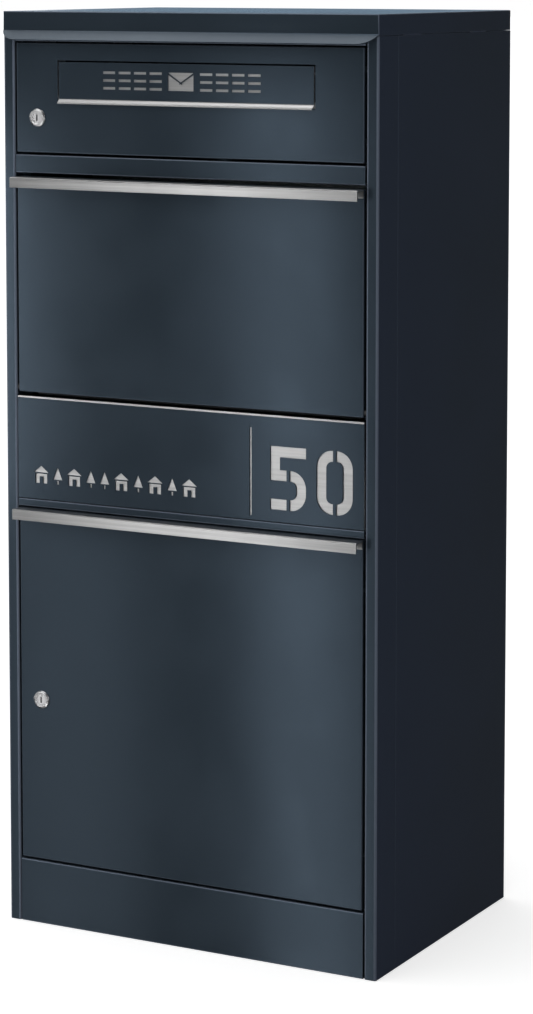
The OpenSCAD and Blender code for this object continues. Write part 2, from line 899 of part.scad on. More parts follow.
// Lock plug: the keyway in front, the square drive for the cam behind
module lock_plug(z) {
    keyway_w = 1.6;
    keyway_h = 7;
    keyway_d = 9;
    // The drive's overlap with the plug, and the bore's spare depth past the screw
    plug_root = 1;
    cam_screw_spare = 0.5;
    color(CHROME) on_lock_axis(z) difference() {
        union() {
            translate([0, 0, cam_in]) cylinder(h = rosette_t - plug_in - cam_in, r = plug_r);
            slab([-drive_w / 2, -drive_w / 2, cam_in - cam_t],
                [drive_w / 2, drive_w / 2, cam_in + plug_root]);
        }
        slab([-keyway_w / 2, -keyway_h / 2, rosette_t - keyway_d],
            [keyway_w / 2, keyway_h / 2, rosette_t + cut_over]);
        translate([0, 0, cam_in - cam_t - cut_over])
            cylinder(h = cam_screw_l + cam_screw_spare + cut_over, r = cam_screw_r + fix_gap);
    }
}

// Cam: hangs straight down while the lock is open
module lock_cam(z) {
    hole = drive_w + 2 * fix_gap;
    color(ZINC) on_lock_axis(z) translate([0, 0, cam_in - cam_t]) difference() {
        linear_extrude(cam_t) {
            circle(cam_w / 2);
            translate([-cam_w / 2, -cam_l]) square([cam_w, cam_l]);
        }
        slab([-hole / 2, -hole / 2, -cut_over], [hole / 2, hole / 2, cam_t + cut_over]);
    }
}

module lock_cam_screw(z) {
    color(ZINC) on_lock_axis(z) translate([0, 0, cam_in - cam_t]) {
        translate([0, 0, -cam_screw_head_t]) difference() {
            cylinder(h = cam_screw_head_t, r = cam_screw_head_r);
            slab([-cam_screw_head_r - cut_over, -driver_slot_w / 2, -cut_over],
                [cam_screw_head_r + cut_over, driver_slot_w / 2, driver_slot_d]);
        }
        translate([0, 0, -cam_screw_root])
            cylinder(h = cam_screw_l + cam_screw_root, r = cam_screw_r);
    }
}

// ---------------------------------------------------------------- letter door

module at_flap() {
    at_front() translate([flap_offset, 0, 0]) children();
}

module letter_door_panel() {
    color(PAINT) difference() {
        at_front() difference() {
            door_pan(letter_z, letter_top);
            lock_hole(letter_lock_z);
        }
        at_flap() slab([-aperture_x, -cut_over, aperture_z],
            [aperture_x, door_t + cut_over, aperture_top]);
    }
}

module letter_door_hinge_arms() {
    hinge_arms(letter_arms());
}

// A sheet frame behind the aperture that carries the flap's rod and guides the letters
module letter_chute() {
    x = aperture_x + chute_t;
    z0 = aperture_z - chute_t;
    z1 = aperture_top + chute_t;
    ledge_y = flap_back + seat_gap;
    color(ZINC) at_flap() difference() {
        union() {
            difference() {
                slab([-x, door_t, z0], [x, chute_d, z1]);
                slab([-aperture_x, 0, aperture_z],
                    [aperture_x, chute_d + cut_over, aperture_top]);
            }
            slab([-aperture_x, ledge_y, aperture_z],
                [aperture_x, ledge_y + chute_t, aperture_z + chute_ledge_h]);
        }
        bar_x(-x - cut_over, x + cut_over, rod_r + run_gap, rod_y, rod_z);
    }
}

module letter_flap_face() {
    motif_w = 209;
    envelope_w = 34;
    motif_gap = 8;
    motif_rise = 12;
    motif_offset = -4;
    rows_w = (motif_w - envelope_w) / 2 - motif_gap;
    color(PAINT) at_flap() difference() {
        slab([-flap_w / 2, 0, flap_z], [flap_w / 2, face_t, flap_top]);
        translate([motif_offset, 0, flap_z + motif_rise]) art(-cut_over, face_t + cut_over) {
            translate([-envelope_w / 2, 0]) icon_envelope(envelope_w);
            for (side = [0, 1]) mirror([side, 0])
                translate([envelope_w / 2 + motif_gap, 0]) dash_rows(rows_w);
        }
    }
}

// Stainless plate behind the flap's face, with the pull lip and the knuckles on the rod
module letter_flap_backing() {
    lip_step = 0.6;
    lip_edge = 1;
    lip_low = flap_z - lip_h;
    color(STAINLESS) at_flap() difference() {
        union() {
            slab([-flap_w / 2, face_t, flap_z], [flap_w / 2, flap_back, flap_top]);
            translate([-flap_w / 2, 0, 0]) rotate([90, 0, 90]) linear_extrude(flap_w)
                polygon([[face_t, flap_z], [flap_back, flap_z], [flap_back, flap_z - lip_step],
                    [-lip_reach + lip_step, lip_low], [-lip_reach, lip_low + lip_edge]]);
            both_sides() bar_x(flap_w / 2 - knuckle_side - knuckle_l,
                flap_w / 2 - knuckle_side, knuckle_r, rod_y, rod_z);
        }
        bar_x(-flap_w / 2 - cut_over, flap_w / 2 + cut_over, rod_r + fix_gap, rod_y, rod_z);
    }
}

module letter_flap_hinge_rod() {
    x = aperture_x + chute_t + pin_over;
    color(ZINC) at_flap() bar_x(-x, x, rod_r, rod_y, rod_z);
}

// ---------------------------------------------------------------- parcel door

module parcel_pins(r) {
    both_sides() bar_x(door_x - parcel_pin_in, jamb_x + shell_t + pin_over, r,
        parcel_hinge_inset, parcel_hinge_z);
}

module rivet_places() {
    pitch = 2 * (tray_x - rivet_end) / (tray_rivets - 1);
    for (i = [0 : tray_rivets - 1]) translate([(i - (tray_rivets - 1) / 2) * pitch,
        (tray_flange_y + door_return) / 2, parcel_z]) children();
}

module parcel_door_panel() {
    color(PAINT) at_front() difference() {
        door_pan(parcel_z, parcel_top);
        parcel_pins(pin_r + fix_gap);
        rivet_places() hole_up(door_t + tray_t, rivet_r + fix_gap);
    }
}

module parcel_door_hinge_pins() {
    color(ZINC) at_front() parcel_pins(pin_r);
}

// Tray: a flange on the door's lower return, then the slope that parcels slide down
module parcel_tray() {
    c = cos(parcel_open);
    s = sin(parcel_open);
    end_y = tray_y + tray_l * c;
    end_z = tray_z - tray_l * s;
    color(ZINC) at_front() difference() {
        translate([-tray_x, 0, 0]) rotate([90, 0, 90]) linear_extrude(2 * tray_x)
            polygon([[tray_flange_y, tray_z - tray_t], [tray_y - tray_bend, tray_z - tray_t],
                [end_y - tray_t * s, end_z - tray_t * c], [end_y, end_z], [tray_y, tray_z],
                [tray_flange_y, tray_z]]);
        rivet_places() hole_up(door_t + tray_t, rivet_r + fix_gap);
    }
}

module parcel_tray_rivets() {
    stack = door_t + tray_t;
    color(ZINC) at_front() rivet_places() {
        translate([0, 0, -rivet_head_t]) cylinder(h = rivet_head_t, r = rivet_head_r);
        translate([0, 0, -rivet_head_t / 2])
            cylinder(h = stack + rivet_head_t, r = rivet_r);
        translate([0, 0, stack]) cylinder(h = rivet_head_t, r1 = rivet_head_r, r2 = rivet_r);
    }
}

// Side cheek of the tray, with the tab that stops the door when it is open
module parcel_cheek() {
    big = 2 * cheek_r;
    c = cos(parcel_open);
    s = sin(parcel_open);
    translate([tray_x - tray_t, 0, 0]) rotate([90, 0, 90]) linear_extrude(tray_t)
        intersection() {
            translate([parcel_hinge_inset, parcel_hinge_z]) circle(cheek_r, $fn = 96);
            polygon([[door_t, tray_z], [tray_y, tray_z],
                [tray_y + tray_l * c, tray_z - tray_l * s], [big, tray_z - tray_l * s],
                [big, tray_z + big], [door_t, tray_z + big]]);
        }
    translate([0, parcel_hinge_inset, parcel_hinge_z]) rotate([-parcel_open, 0, 0])
        slab([tray_x - tray_t / 2, stop_back - parcel_hinge_inset + seat_gap, cheek_tab_z],
            [tray_x + cheek_tab_w, stop_back - parcel_hinge_inset + seat_gap + tray_t,
                cheek_tab_z + cheek_tab_l]);
}

module parcel_left_cheek() {
    color(ZINC) at_front() mirror([1, 0, 0]) parcel_cheek();
}

module parcel_right_cheek() {
    color(ZINC) at_front() parcel_cheek();
}

module parcel_door_handle() {
    handle(parcel_top);
}

// ---------------------------------------------------------------- collection door

module collection_door_panel() {
    color(PAINT) at_front() difference() {
        door_pan(collection_z, collection_top);
        lock_hole(collection_lock_z);
    }
}

module collection_door_hinge_arms() {
    hinge_arms(collection_arms());
}

module collection_door_handle() {
    handle(collection_top);
}

// Hat channel down the middle of the collection door
module collection_door_stiffener() {
    crown = 40;
    brim = 14;
    depth = 11;
    t = 1.2;
    end = 20;
    half = crown / 2 + brim;
    color(ZINC) at_front() translate([0, door_t, collection_z + end])
        linear_extrude(collection_top - collection_z - 2 * end) difference() {
            union() {
                translate([-half, 0]) square([2 * half, t]);
                translate([-crown / 2, 0]) square([crown, depth]);
            }
            translate([-crown / 2 + t, -cut_over])
                square([crown - 2 * t, depth - t + cut_over]);
        }
}

// ---------------------------------------------------------------- washers and buffers

module washer(t) {
    difference() {
        cylinder(h = t, r = washer_r);
        hole_up(t, pin_r + seat_gap);
    }
}

module parcel_hinge_washers() {
    color(NYLON) at_front() {
        both_sides() translate([jamb_x, parcel_hinge_inset, parcel_hinge_z])
            rotate([0, -90, 0]) washer(side_gap - seat_gap);
    }
}

// A rubber buffer on a stop flange, where the door's return meets it
module buffer(side, z) {
    translate([side * (stop_x + stop_w / 2), jamb_d, z]) rotate([90, 0, 0])
        cylinder(h = jamb_d - door_return - seat_gap, r = buffer_r);
}

module door_buffers() {
    color(RUBBER) at_front() {
        for (z = [letter_z + buffer_end, letter_top - buffer_end,
            collection_z + buffer_end, collection_top - buffer_end]) buffer(-1, z);
        for (side = [-1, 1]) buffer(side, parcel_top - buffer_end);
    }
}

// ---------------------------------------------------------------- locks

module letter_lock_housing() { lock_housing(letter_lock_z); }
module letter_lock_nut() { lock_nut(letter_lock_z); }
module letter_lock_plug() { lock_plug(letter_lock_z); }
module letter_lock_cam() { lock_cam(letter_lock_z); }
module letter_lock_cam_screw() { lock_cam_screw(letter_lock_z); }
module collection_lock_housing() { lock_housing(collection_lock_z); }
module collection_lock_nut() { lock_nut(collection_lock_z); }
module collection_lock_plug() { lock_plug(collection_lock_z); }
module collection_lock_cam() { lock_cam(collection_lock_z); }
module collection_lock_cam_screw() { lock_cam_screw(collection_lock_z); }

left_side_panel();
right_side_panel();
rear_panel();
left_front_post();
right_front_post();
roof_lid();
roof_cleats();
header_rail();
upper_rail();
middle_rail();
address_backing_plate();
address_face_plate();
address_plate_nuts();
plinth_panel();
base_plate();
compartment_floor();
letter_shelf();
parcel_guard();
side_hinge_brackets();
side_hinge_pins();
parcel_hinge_washers();
door_buffers();
rear_panel_screws();
letter_door_panel();
letter_door_hinge_arms();
letter_chute();
letter_lock_housing();
letter_lock_nut();
letter_flap_backing();
letter_flap_face();
letter_flap_hinge_rod();
letter_lock_plug();
letter_lock_cam();
letter_lock_cam_screw();
parcel_door_panel();
parcel_door_handle();
parcel_tray();
parcel_left_cheek();
parcel_right_cheek();
parcel_tray_rivets();
parcel_door_hinge_pins();
collection_door_panel();
collection_door_handle();
collection_door_stiffener();
collection_door_hinge_arms();
collection_lock_housing();
collection_lock_nut();
collection_lock_plug();
collection_lock_cam();
collection_lock_cam_screw();
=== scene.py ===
"""Looks of a free-standing parcel and letter cabinet, built round its fixed CAD frame.

Sheet parts become copies with rounded folds and eased cut edges, the handles and the door's
stiffener are rolled channels, screws and rivets are rows of one prototype, the lock barrels
carry threads, and every piece gets a procedural finish. All sizes are in metres.
"""

import json
import logging
import math
from dataclasses import dataclass, field
from enum import Enum
from typing import Callable, Iterable, Iterator, Sequence

import bmesh
import bpy
from mathutils import Matrix, Quaternion, Vector

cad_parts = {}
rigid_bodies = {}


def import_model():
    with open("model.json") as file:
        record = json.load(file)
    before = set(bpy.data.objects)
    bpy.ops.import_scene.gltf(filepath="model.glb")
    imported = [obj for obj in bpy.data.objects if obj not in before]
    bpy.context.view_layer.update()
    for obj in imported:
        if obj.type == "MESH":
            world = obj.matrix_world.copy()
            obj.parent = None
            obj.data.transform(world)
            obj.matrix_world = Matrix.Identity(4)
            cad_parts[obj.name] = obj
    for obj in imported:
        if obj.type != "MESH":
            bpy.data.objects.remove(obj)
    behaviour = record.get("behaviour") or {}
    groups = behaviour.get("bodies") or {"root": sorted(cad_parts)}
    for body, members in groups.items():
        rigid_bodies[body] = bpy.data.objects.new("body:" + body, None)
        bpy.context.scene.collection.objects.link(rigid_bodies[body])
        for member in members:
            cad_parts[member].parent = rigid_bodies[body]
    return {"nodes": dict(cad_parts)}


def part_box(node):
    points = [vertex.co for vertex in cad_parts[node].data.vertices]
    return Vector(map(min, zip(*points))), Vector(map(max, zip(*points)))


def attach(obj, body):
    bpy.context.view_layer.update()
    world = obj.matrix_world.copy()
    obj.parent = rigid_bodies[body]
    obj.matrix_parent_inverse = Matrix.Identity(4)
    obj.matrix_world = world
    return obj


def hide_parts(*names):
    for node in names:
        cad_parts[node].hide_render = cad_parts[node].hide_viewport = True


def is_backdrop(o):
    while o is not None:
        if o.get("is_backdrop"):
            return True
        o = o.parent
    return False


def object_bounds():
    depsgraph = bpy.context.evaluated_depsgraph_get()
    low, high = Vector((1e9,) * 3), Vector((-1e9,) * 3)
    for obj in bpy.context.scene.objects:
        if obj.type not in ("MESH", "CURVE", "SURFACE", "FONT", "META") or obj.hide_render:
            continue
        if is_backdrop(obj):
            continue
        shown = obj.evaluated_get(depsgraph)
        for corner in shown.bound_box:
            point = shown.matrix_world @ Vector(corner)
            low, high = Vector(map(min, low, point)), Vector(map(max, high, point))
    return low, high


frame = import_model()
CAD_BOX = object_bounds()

Node = bpy.types.Node
Socket = bpy.types.NodeSocket
Sockets = bpy.types.NodeInputs | bpy.types.NodeOutputs
Tree = bpy.types.NodeTree
Solid = bmesh.types.BMesh
Point = tuple[float, float]
Place = tuple[float, float, float]
Colour = tuple[float, float, float]

logging.basicConfig(level=logging.INFO, format="%(message)s")
log = logging.getLogger("cabinet")

MM = 0.001
MERGE_DISTANCE = 0.002 * MM
FLAT_ANGLE = math.radians(0.3)
CORNER_ANGLE = math.radians(35)
SHARP_ANGLE = math.radians(50)
BARREL_SEGMENTS = 64
NOISE_LOW, NOISE_HIGH = 0.3, 0.7
LEAST_LENGTH = 1e-9
FLOAT = "NodeSocketFloat"
VECTOR = "NodeSocketVector"
# Face attribute with the share of painted highlight on folds, eased edges and narrow cut faces
FOLD_HIGHLIGHT_MARK = "fold"


class Slot(Enum):
    """Material slots of the record."""

    POWDER_COAT = "powder_coat"
    STAINLESS = "stainless"
    GALVANISED = "galvanised"
    LOCK_CHROME = "lock_chrome"
    BUFFER_RUBBER = "buffer_rubber"
    WASHER_NYLON = "washer_nylon"


class Body(Enum):
    """Moving bodies of the cabinet."""

    CABINET = "cabinet"
    LETTER_DOOR = "letter_door"
    LETTER_FLAP = "letter_flap"
    LETTER_LOCK = "letter_lock"
    PARCEL_DOOR = "parcel_door"
    COLLECTION_DOOR = "collection_door"
    COLLECTION_LOCK = "collection_lock"


# ------------------------------------------------------------------ node trees


class Graph:
    """A node tree under construction, for shaders and geometry alike."""

    def __init__(self, tree: Tree) -> None:
        """Keeps the tree that nodes are added to."""
        self.tree = tree

    def add(self, kind: str, inputs: dict | None = None, **settings: object) -> Node:
        """Adds a node.

        Args:
            kind: the node's type name.
            inputs: for each input's name or number, a socket to link or a value to set.
            settings: the node's own properties.

        Returns:
            The new node.
        """
        node = self.tree.nodes.new(kind)
        for name, value in settings.items():
            setattr(node, name, value)
        for key, value in (inputs or {}).items():
            if isinstance(value, Socket):
                self.link(value, node.inputs[key])
            else:
                node.inputs[key].default_value = value
        return node

    def link(self, value: Socket, target: Socket) -> None:
        """Joins one node's output to another's input."""
        self.tree.links.new(value, target)

    def calc(self, operation: str, *values: object, clamp: bool = False) -> Socket:
        """Adds a math node.

        Args:
            operation: the math node's operation.
            values: its sockets or numbers.
            clamp: keeps the result between 0 and 1.

        Returns:
            The node's result socket.
        """
        node = self.add("ShaderNodeMath", dict(enumerate(values)), operation=operation)
        node.use_clamp = clamp
        return node.outputs[0]

    def noise(self, vector: object, scale: object, detail: float = 2.0) -> Socket:
        """Adds a noise texture.

        Args:
            vector: the coordinates.
            scale: cells per unit.
            detail: octaves of finer noise.

        Returns:
            The noise value, about NOISE_LOW to NOISE_HIGH.
        """
        inputs = {"Vector": vector, "Scale": scale, "Detail": detail}
        return self.add("ShaderNodeTexNoise", inputs).outputs["Fac"]

    def cells(self, vector: object, size: object, detail: float = 2.0) -> Socket:
        """Adds a noise texture whose cells have a size in metres."""
        return self.noise(vector, self.calc("DIVIDE", 1.0, size), detail)

    def spread(self, value: object, low: float, high: float) -> Socket:
        """Maps a noise value to a range.

        Args:
            value: the noise value.
            low: result at NOISE_LOW.
            high: result at NOISE_HIGH.

        Returns:
            The mapped value.
        """
        given = {"Value": value, "From Min": NOISE_LOW, "From Max": NOISE_HIGH}
        inputs = given | {"To Min": low, "To Max": high}
        return self.add("ShaderNodeMapRange", inputs).outputs[0]


def blank_material(name: str) -> tuple[bpy.types.Material, Graph]:
    """Makes a material without nodes.

    Args:
        name: the material's name.

    Returns:
        The material and a graph on it.
    """
    made = bpy.data.materials.new(name)
    made.use_nodes = True
    made.node_tree.nodes.clear()
    return made, Graph(made.node_tree)


def in_scene(name: str, data: bpy.types.ID) -> bpy.types.Object:
    """Puts an object into the scene.

    Args:
        name: the object's name.
        data: its mesh, light or camera.

    Returns:
        The object.
    """
    made = bpy.data.objects.new(name, data)
    bpy.context.scene.collection.objects.link(made)
    return made


def shader_group(
    name: str, inputs: dict[str, tuple[str, object]], outputs: Sequence[str]
) -> tuple[Graph, Sockets, Sockets]:
    """Makes an empty shader group with named sockets.

    Args:
        name: the group's name.
        inputs: socket type and default for each input's name.
        outputs: names of the float outputs.

    Returns:
        A graph on the group, what comes into it and what goes out of it.
    """
    tree = bpy.data.node_groups.new(name, "ShaderNodeTree")
    for label, (kind, default) in inputs.items():
        socket = tree.interface.new_socket(label, in_out="INPUT", socket_type=kind)
        if kind == FLOAT:
            socket.default_value = default
    for label in outputs:
        tree.interface.new_socket(label, in_out="OUTPUT", socket_type=FLOAT)
    graph = Graph(tree)
    return graph, graph.add("NodeGroupInput").outputs, graph.add("NodeGroupOutput").inputs


class Effects:
    """Surface effects that several finishes share, each built once as a shader group."""

    LINE_DETAIL = 3.0
    BROAD_SCALE = 0.12
    PATCH_DETAIL = 4.0
    CLOUD_DETAIL = 5.0
    LEVEL_POWER = 8.0
    THIN_PATCH = 0.35
    THIN_SPECK = 0.2

    def __init__(self) -> None:
        """Builds the groups."""
        self.grain = self._grain()
        self.brushing = self._brushing()
        self.dust_and_sheen = self._dust_and_sheen()
        self.marks = self._marks()

    @staticmethod
    def _grain() -> Tree:
        """Builds a pebbled skin with fine grain on it.

        Returns:
            The group.
        """
        graph, given, result = shader_group(
            "surface_grain",
            {
                "Vector": (VECTOR, None),
                "Pebble Size": (FLOAT, 1.2 * MM),
                "Grain Size": (FLOAT, 0.3 * MM),
                "Grain Share": (FLOAT, 0.35),
            },
            ("Height", "Tone"),
        )
        vector = given["Vector"]
        pebble = graph.cells(vector, given["Pebble Size"])
        grain = graph.cells(vector, given["Grain Size"])
        mixed = graph.calc("MULTIPLY_ADD", grain, given["Grain Share"], pebble)
        graph.link(mixed, result["Height"])
        graph.link(graph.spread(grain, 0.0, 1.0), result["Tone"])
        return graph.tree

    def _brushing(self) -> Tree:
        """Builds fine lines along X.

        Returns:
            The group.
        """
        graph, given, result = shader_group(
            "brushed_lines",
            {
                "Vector": (VECTOR, None),
                "Line Length": (FLOAT, 60 * MM),
                "Line Width": (FLOAT, 0.25 * MM),
            },
            ("Height", "Tone"),
        )
        across = graph.calc("DIVIDE", 1.0, given["Line Width"])
        along = graph.calc("DIVIDE", 1.0, given["Line Length"])
        scale = graph.add("ShaderNodeCombineXYZ", {0: along, 1: across, 2: across})
        vector = graph.add(
            "ShaderNodeVectorMath",
            {0: given["Vector"], 1: scale.outputs[0]},
            operation="MULTIPLY",
        ).outputs[0]
        fine = graph.noise(vector, 1.0, self.LINE_DETAIL)
        broad = graph.noise(vector, self.BROAD_SCALE)
        graph.link(fine, result["Height"])
        tone = graph.calc("ADD", graph.spread(fine, 0.0, 0.5), graph.spread(broad, 0.0, 0.5))
        graph.link(tone, result["Tone"])
        return graph.tree

    def _dust_and_sheen(self) -> Tree:
        """Builds dust that settles in patches on level faces, which on the powder coat also paints
        a sheen on level tops.

        Returns:
            The group.
        """
        graph, given, result = shader_group(
            "settled_dust",
            {
                "Vector": (VECTOR, None),
                "Patch Size": (FLOAT, 30 * MM),
                "Speck Size": (FLOAT, 0.8 * MM),
                "Amount": (FLOAT, 0.5),
            },
            ("Mask",),
        )
        vector = given["Vector"]
        # The mask favours faces that look up: real dust, and the painted sheen of level tops
        normal = graph.add("ShaderNodeNewGeometry").outputs["Normal"]
        up = graph.add("ShaderNodeSeparateXYZ", {0: normal}).outputs["Z"]
        level = graph.calc("POWER", graph.calc("MAXIMUM", up, 0.0), self.LEVEL_POWER)
        patches = graph.cells(vector, given["Patch Size"], self.PATCH_DETAIL)
        patch = graph.spread(patches, self.THIN_PATCH, 1.0)
        speck = graph.spread(graph.cells(vector, given["Speck Size"]), self.THIN_SPECK, 1.0)
        cover = graph.calc("MULTIPLY", level, graph.calc("MULTIPLY", patch, speck))
        mask = graph.calc("MULTIPLY", cover, given["Amount"], clamp=True)
        graph.link(mask, result["Mask"])
        return graph.tree

    def _marks(self) -> Tree:
        """Builds faint cloudy marks from handling and wiping.

        Returns:
            The group.
        """
        graph, given, result = shader_group(
            "handling_marks",
            {"Vector": (VECTOR, None), "Mark Size": (FLOAT, 40 * MM)},
            ("Mask",),
        )
        cloud = graph.cells(given["Vector"], given["Mark Size"], self.CLOUD_DETAIL)
        graph.link(graph.spread(cloud, 0.0, 1.0), result["Mask"])
        return graph.tree


# ------------------------------------------------------------------ finishes


@dataclass(frozen=True)
class Finish:
    """A procedural surface for one of the record's slots."""

    slot: Slot
    name: str

    def material(self, effects: Effects) -> bpy.types.Material:
        """Builds the material.

        Args:
            effects: the shared shader groups.

        Returns:
            The finished material.
        """
        made, graph = blank_material(self.name)
        place = graph.add("ShaderNodeTexCoord").outputs["Object"]
        shader = graph.add("ShaderNodeBsdfPrincipled")
        output = graph.add("ShaderNodeOutputMaterial")
        graph.link(shader.outputs[0], output.inputs["Surface"])
        self.dress(graph, effects, place, shader)
        return made

    def dress(self, graph: Graph, effects: Effects, place: Socket, shader: Node) -> None:
        """Sets the shader's inputs. Each finish has its own way."""
        raise NotImplementedError

    @staticmethod
    def effect(graph: Graph, tree: Tree, place: Socket, **sizes: float) -> Sockets:
        """Places a shared effect.

        Args:
            graph: the material's graph.
            tree: the effect's group.
            place: the coordinates that it reads.
            sizes: values for its inputs, with underscores for the spaces in their names.

        Returns:
            What the effect gives.
        """
        node = graph.add("ShaderNodeGroup", node_tree=tree)
        graph.link(place, node.inputs["Vector"])
        for name, value in sizes.items():
            node.inputs[name.replace("_", " ")].default_value = value
        return node.outputs

    @staticmethod
    def relief(graph: Graph, height: object, depth: float, shader: Node) -> None:
        """Adds a bump of a depth in metres to the shader."""
        bump = graph.add("ShaderNodeBump", {"Strength": 1.0, "Distance": depth, "Height": height})
        graph.link(bump.outputs[0], shader.inputs["Normal"])

    @staticmethod
    def blend(graph: Graph, share: object, low: Sequence[float], high: Sequence[float]) -> Socket:
        """Mixes two colours.

        Args:
            graph: the material's graph.
            share: 0 for the first colour and 1 for the second.
            low: the first colour.
            high: the second colour.

        Returns:
            The mixed colour.
        """
        inputs = {"Factor": share}
        node = graph.add("ShaderNodeMix", inputs, data_type="RGBA")
        for key, colour in ((6, low), (7, high)):
            if isinstance(colour, Socket):
                graph.link(colour, node.inputs[key])
            else:
                node.inputs[key].default_value = (*colour, 1.0)
        return node.outputs[2]


@dataclass(frozen=True)
class PowderCoat(Finish):
    """Fine-textured satin powder coat, with a painted highlight over folds and cut edges, and dust
    with a painted bluish sheen where it lies level.
    """

    slot: Slot = Slot.POWDER_COAT
    name: str = "powder_coat_anthracite"
    dark: Colour = (0.0140, 0.0205, 0.0275)
    light: Colour = (0.0215, 0.0300, 0.0395)
    # Dust on level faces, bluish and light so that it also paints the sheen of level tops
    dust_and_sheen: Colour = (0.085, 0.115, 0.150)
    # Painted highlight: a lighter colour over folds and cut edges, where bends would catch the
    # light
    fold_highlight: Colour = (0.120, 0.140, 0.180)
    sheen: Colour = (0.55, 0.76, 1.0)
    roughness: float = 0.22
    wear: float = 0.02
    gloss: float = 0.42
    mark: float = 110 * MM
    dust_and_sheen_share: float = 0.55
    fold_highlight_share: float = 0.8
    cloud_share: float = 0.3
    pebble: float = 1.4 * MM
    grain: float = 0.35 * MM
    patch: float = 45 * MM
    dust_roughness: float = 0.25
    skin: float = 0.03 * MM

    def dress(self, graph: Graph, effects: Effects, place: Socket, shader: Node) -> None:
        """Tone and roughness follow the grain, folds and cut edges get a painted highlight, dust
        with a painted sheen lies on level faces, and the skin is pebbled.

        Args:
            graph: the material's graph.
            effects: the shared shader groups.
            place: object coordinates.
            shader: the shader whose inputs are set.
        """
        grain = self.effect(
            graph, effects.grain, place, Pebble_Size=self.pebble, Grain_Size=self.grain
        )
        marks = self.effect(graph, effects.marks, place, Mark_Size=self.mark)
        dust_and_sheen = self.effect(
            graph, effects.dust_and_sheen, place, Patch_Size=self.patch, Amount=self.dust_and_sheen_share
        )
        cloud = marks["Mask"]
        fine = graph.calc("MULTIPLY", grain["Tone"], 1 - self.cloud_share)
        tone = graph.calc("MULTIPLY_ADD", cloud, self.cloud_share, fine, clamp=True)
        paint = self.blend(graph, tone, self.dark, self.light)
        # Painted highlight: folds, eased edges and narrow cut faces turn lighter by their mark
        fold = graph.add("ShaderNodeAttribute", attribute_name=FOLD_HIGHLIGHT_MARK).outputs["Fac"]
        fold_highlight_mask = graph.calc("MULTIPLY", fold, self.fold_highlight_share)
        paint = self.blend(graph, fold_highlight_mask, paint, self.fold_highlight)
        # Level faces get dust with a painted bluish sheen
        colour = self.blend(graph, dust_and_sheen["Mask"], paint, self.dust_and_sheen)
        graph.link(colour, shader.inputs["Base Color"])
        worn = graph.spread(cloud, self.roughness - self.wear, self.roughness + self.wear)
        rough = graph.calc("MULTIPLY_ADD", dust_and_sheen["Mask"], self.dust_roughness, worn)
        graph.link(rough, shader.inputs["Roughness"])
        shader.inputs["Specular IOR Level"].default_value = self.gloss
        shader.inputs["Specular Tint"].default_value = (*self.sheen, 1.0)
        self.relief(graph, grain["Height"], self.skin, shader)


@dataclass(frozen=True)
class BrushedStainless(Finish):
    """Stainless sheet with lines brushed along its length."""

    slot: Slot = Slot.STAINLESS
    name: str = "brushed_stainless"
    dark: Colour = (0.40, 0.40, 0.405)
    light: Colour = (0.62, 0.62, 0.615)
    line_length: float = 55 * MM
    line_width: float = 0.35 * MM
    mark: float = 60 * MM
    skin: float = 0.02 * MM
    roughness: tuple[float, float] = (0.30, 0.42)
    mark_roughness: float = 0.06

    def dress(self, graph: Graph, effects: Effects, place: Socket, shader: Node) -> None:
        """Colour, roughness and relief follow the brushed lines.

        Args:
            graph: the material's graph.
            effects: the shared shader groups.
            place: object coordinates.
            shader: the shader whose inputs are set.
        """
        sizes = {"Line_Length": self.line_length, "Line_Width": self.line_width}
        lines = self.effect(graph, effects.brushing, place, **sizes)
        marks = self.effect(graph, effects.marks, place, Mark_Size=self.mark)
        metal = self.blend(graph, lines["Tone"], self.dark, self.light)
        graph.link(metal, shader.inputs["Base Color"])
        shader.inputs["Metallic"].default_value = 1.0
        brushed = graph.spread(lines["Height"], *self.roughness)
        rough = graph.calc("MULTIPLY_ADD", marks["Mask"], self.mark_roughness, brushed)
        graph.link(rough, shader.inputs["Roughness"])
        self.relief(graph, lines["Height"], self.skin, shader)


@dataclass(frozen=True)
class NickelPlate(Finish):
    """Bright plating on the lock faces, with faint polishing grain."""

    slot: Slot = Slot.LOCK_CHROME
    name: str = "nickel_plated_lock"
    dark: Colour = (0.60, 0.60, 0.61)
    light: Colour = (0.80, 0.80, 0.81)
    roughness: float = 0.24
    mark: float = 6 * MM
    mark_roughness: float = 0.10
    pebble: float = 0.9 * MM
    grain: float = 0.2 * MM
    skin: float = 0.0012 * MM

    def dress(self, graph: Graph, effects: Effects, place: Socket, shader: Node) -> None:
        """Tone and roughness follow a fine grain.

        Args:
            graph: the material's graph.
            effects: the shared shader groups.
            place: object coordinates.
            shader: the shader whose inputs are set.
        """
        grain = self.effect(
            graph, effects.grain, place, Pebble_Size=self.pebble, Grain_Size=self.grain
        )
        marks = self.effect(graph, effects.marks, place, Mark_Size=self.mark)
        metal = self.blend(graph, marks["Mask"], self.dark, self.light)
        graph.link(metal, shader.inputs["Base Color"])
        shader.inputs["Metallic"].default_value = 1.0
        rough = graph.calc("MULTIPLY_ADD", marks["Mask"], self.mark_roughness, self.roughness)
        graph.link(rough, shader.inputs["Roughness"])
        self.relief(graph, grain["Height"], self.skin, shader)


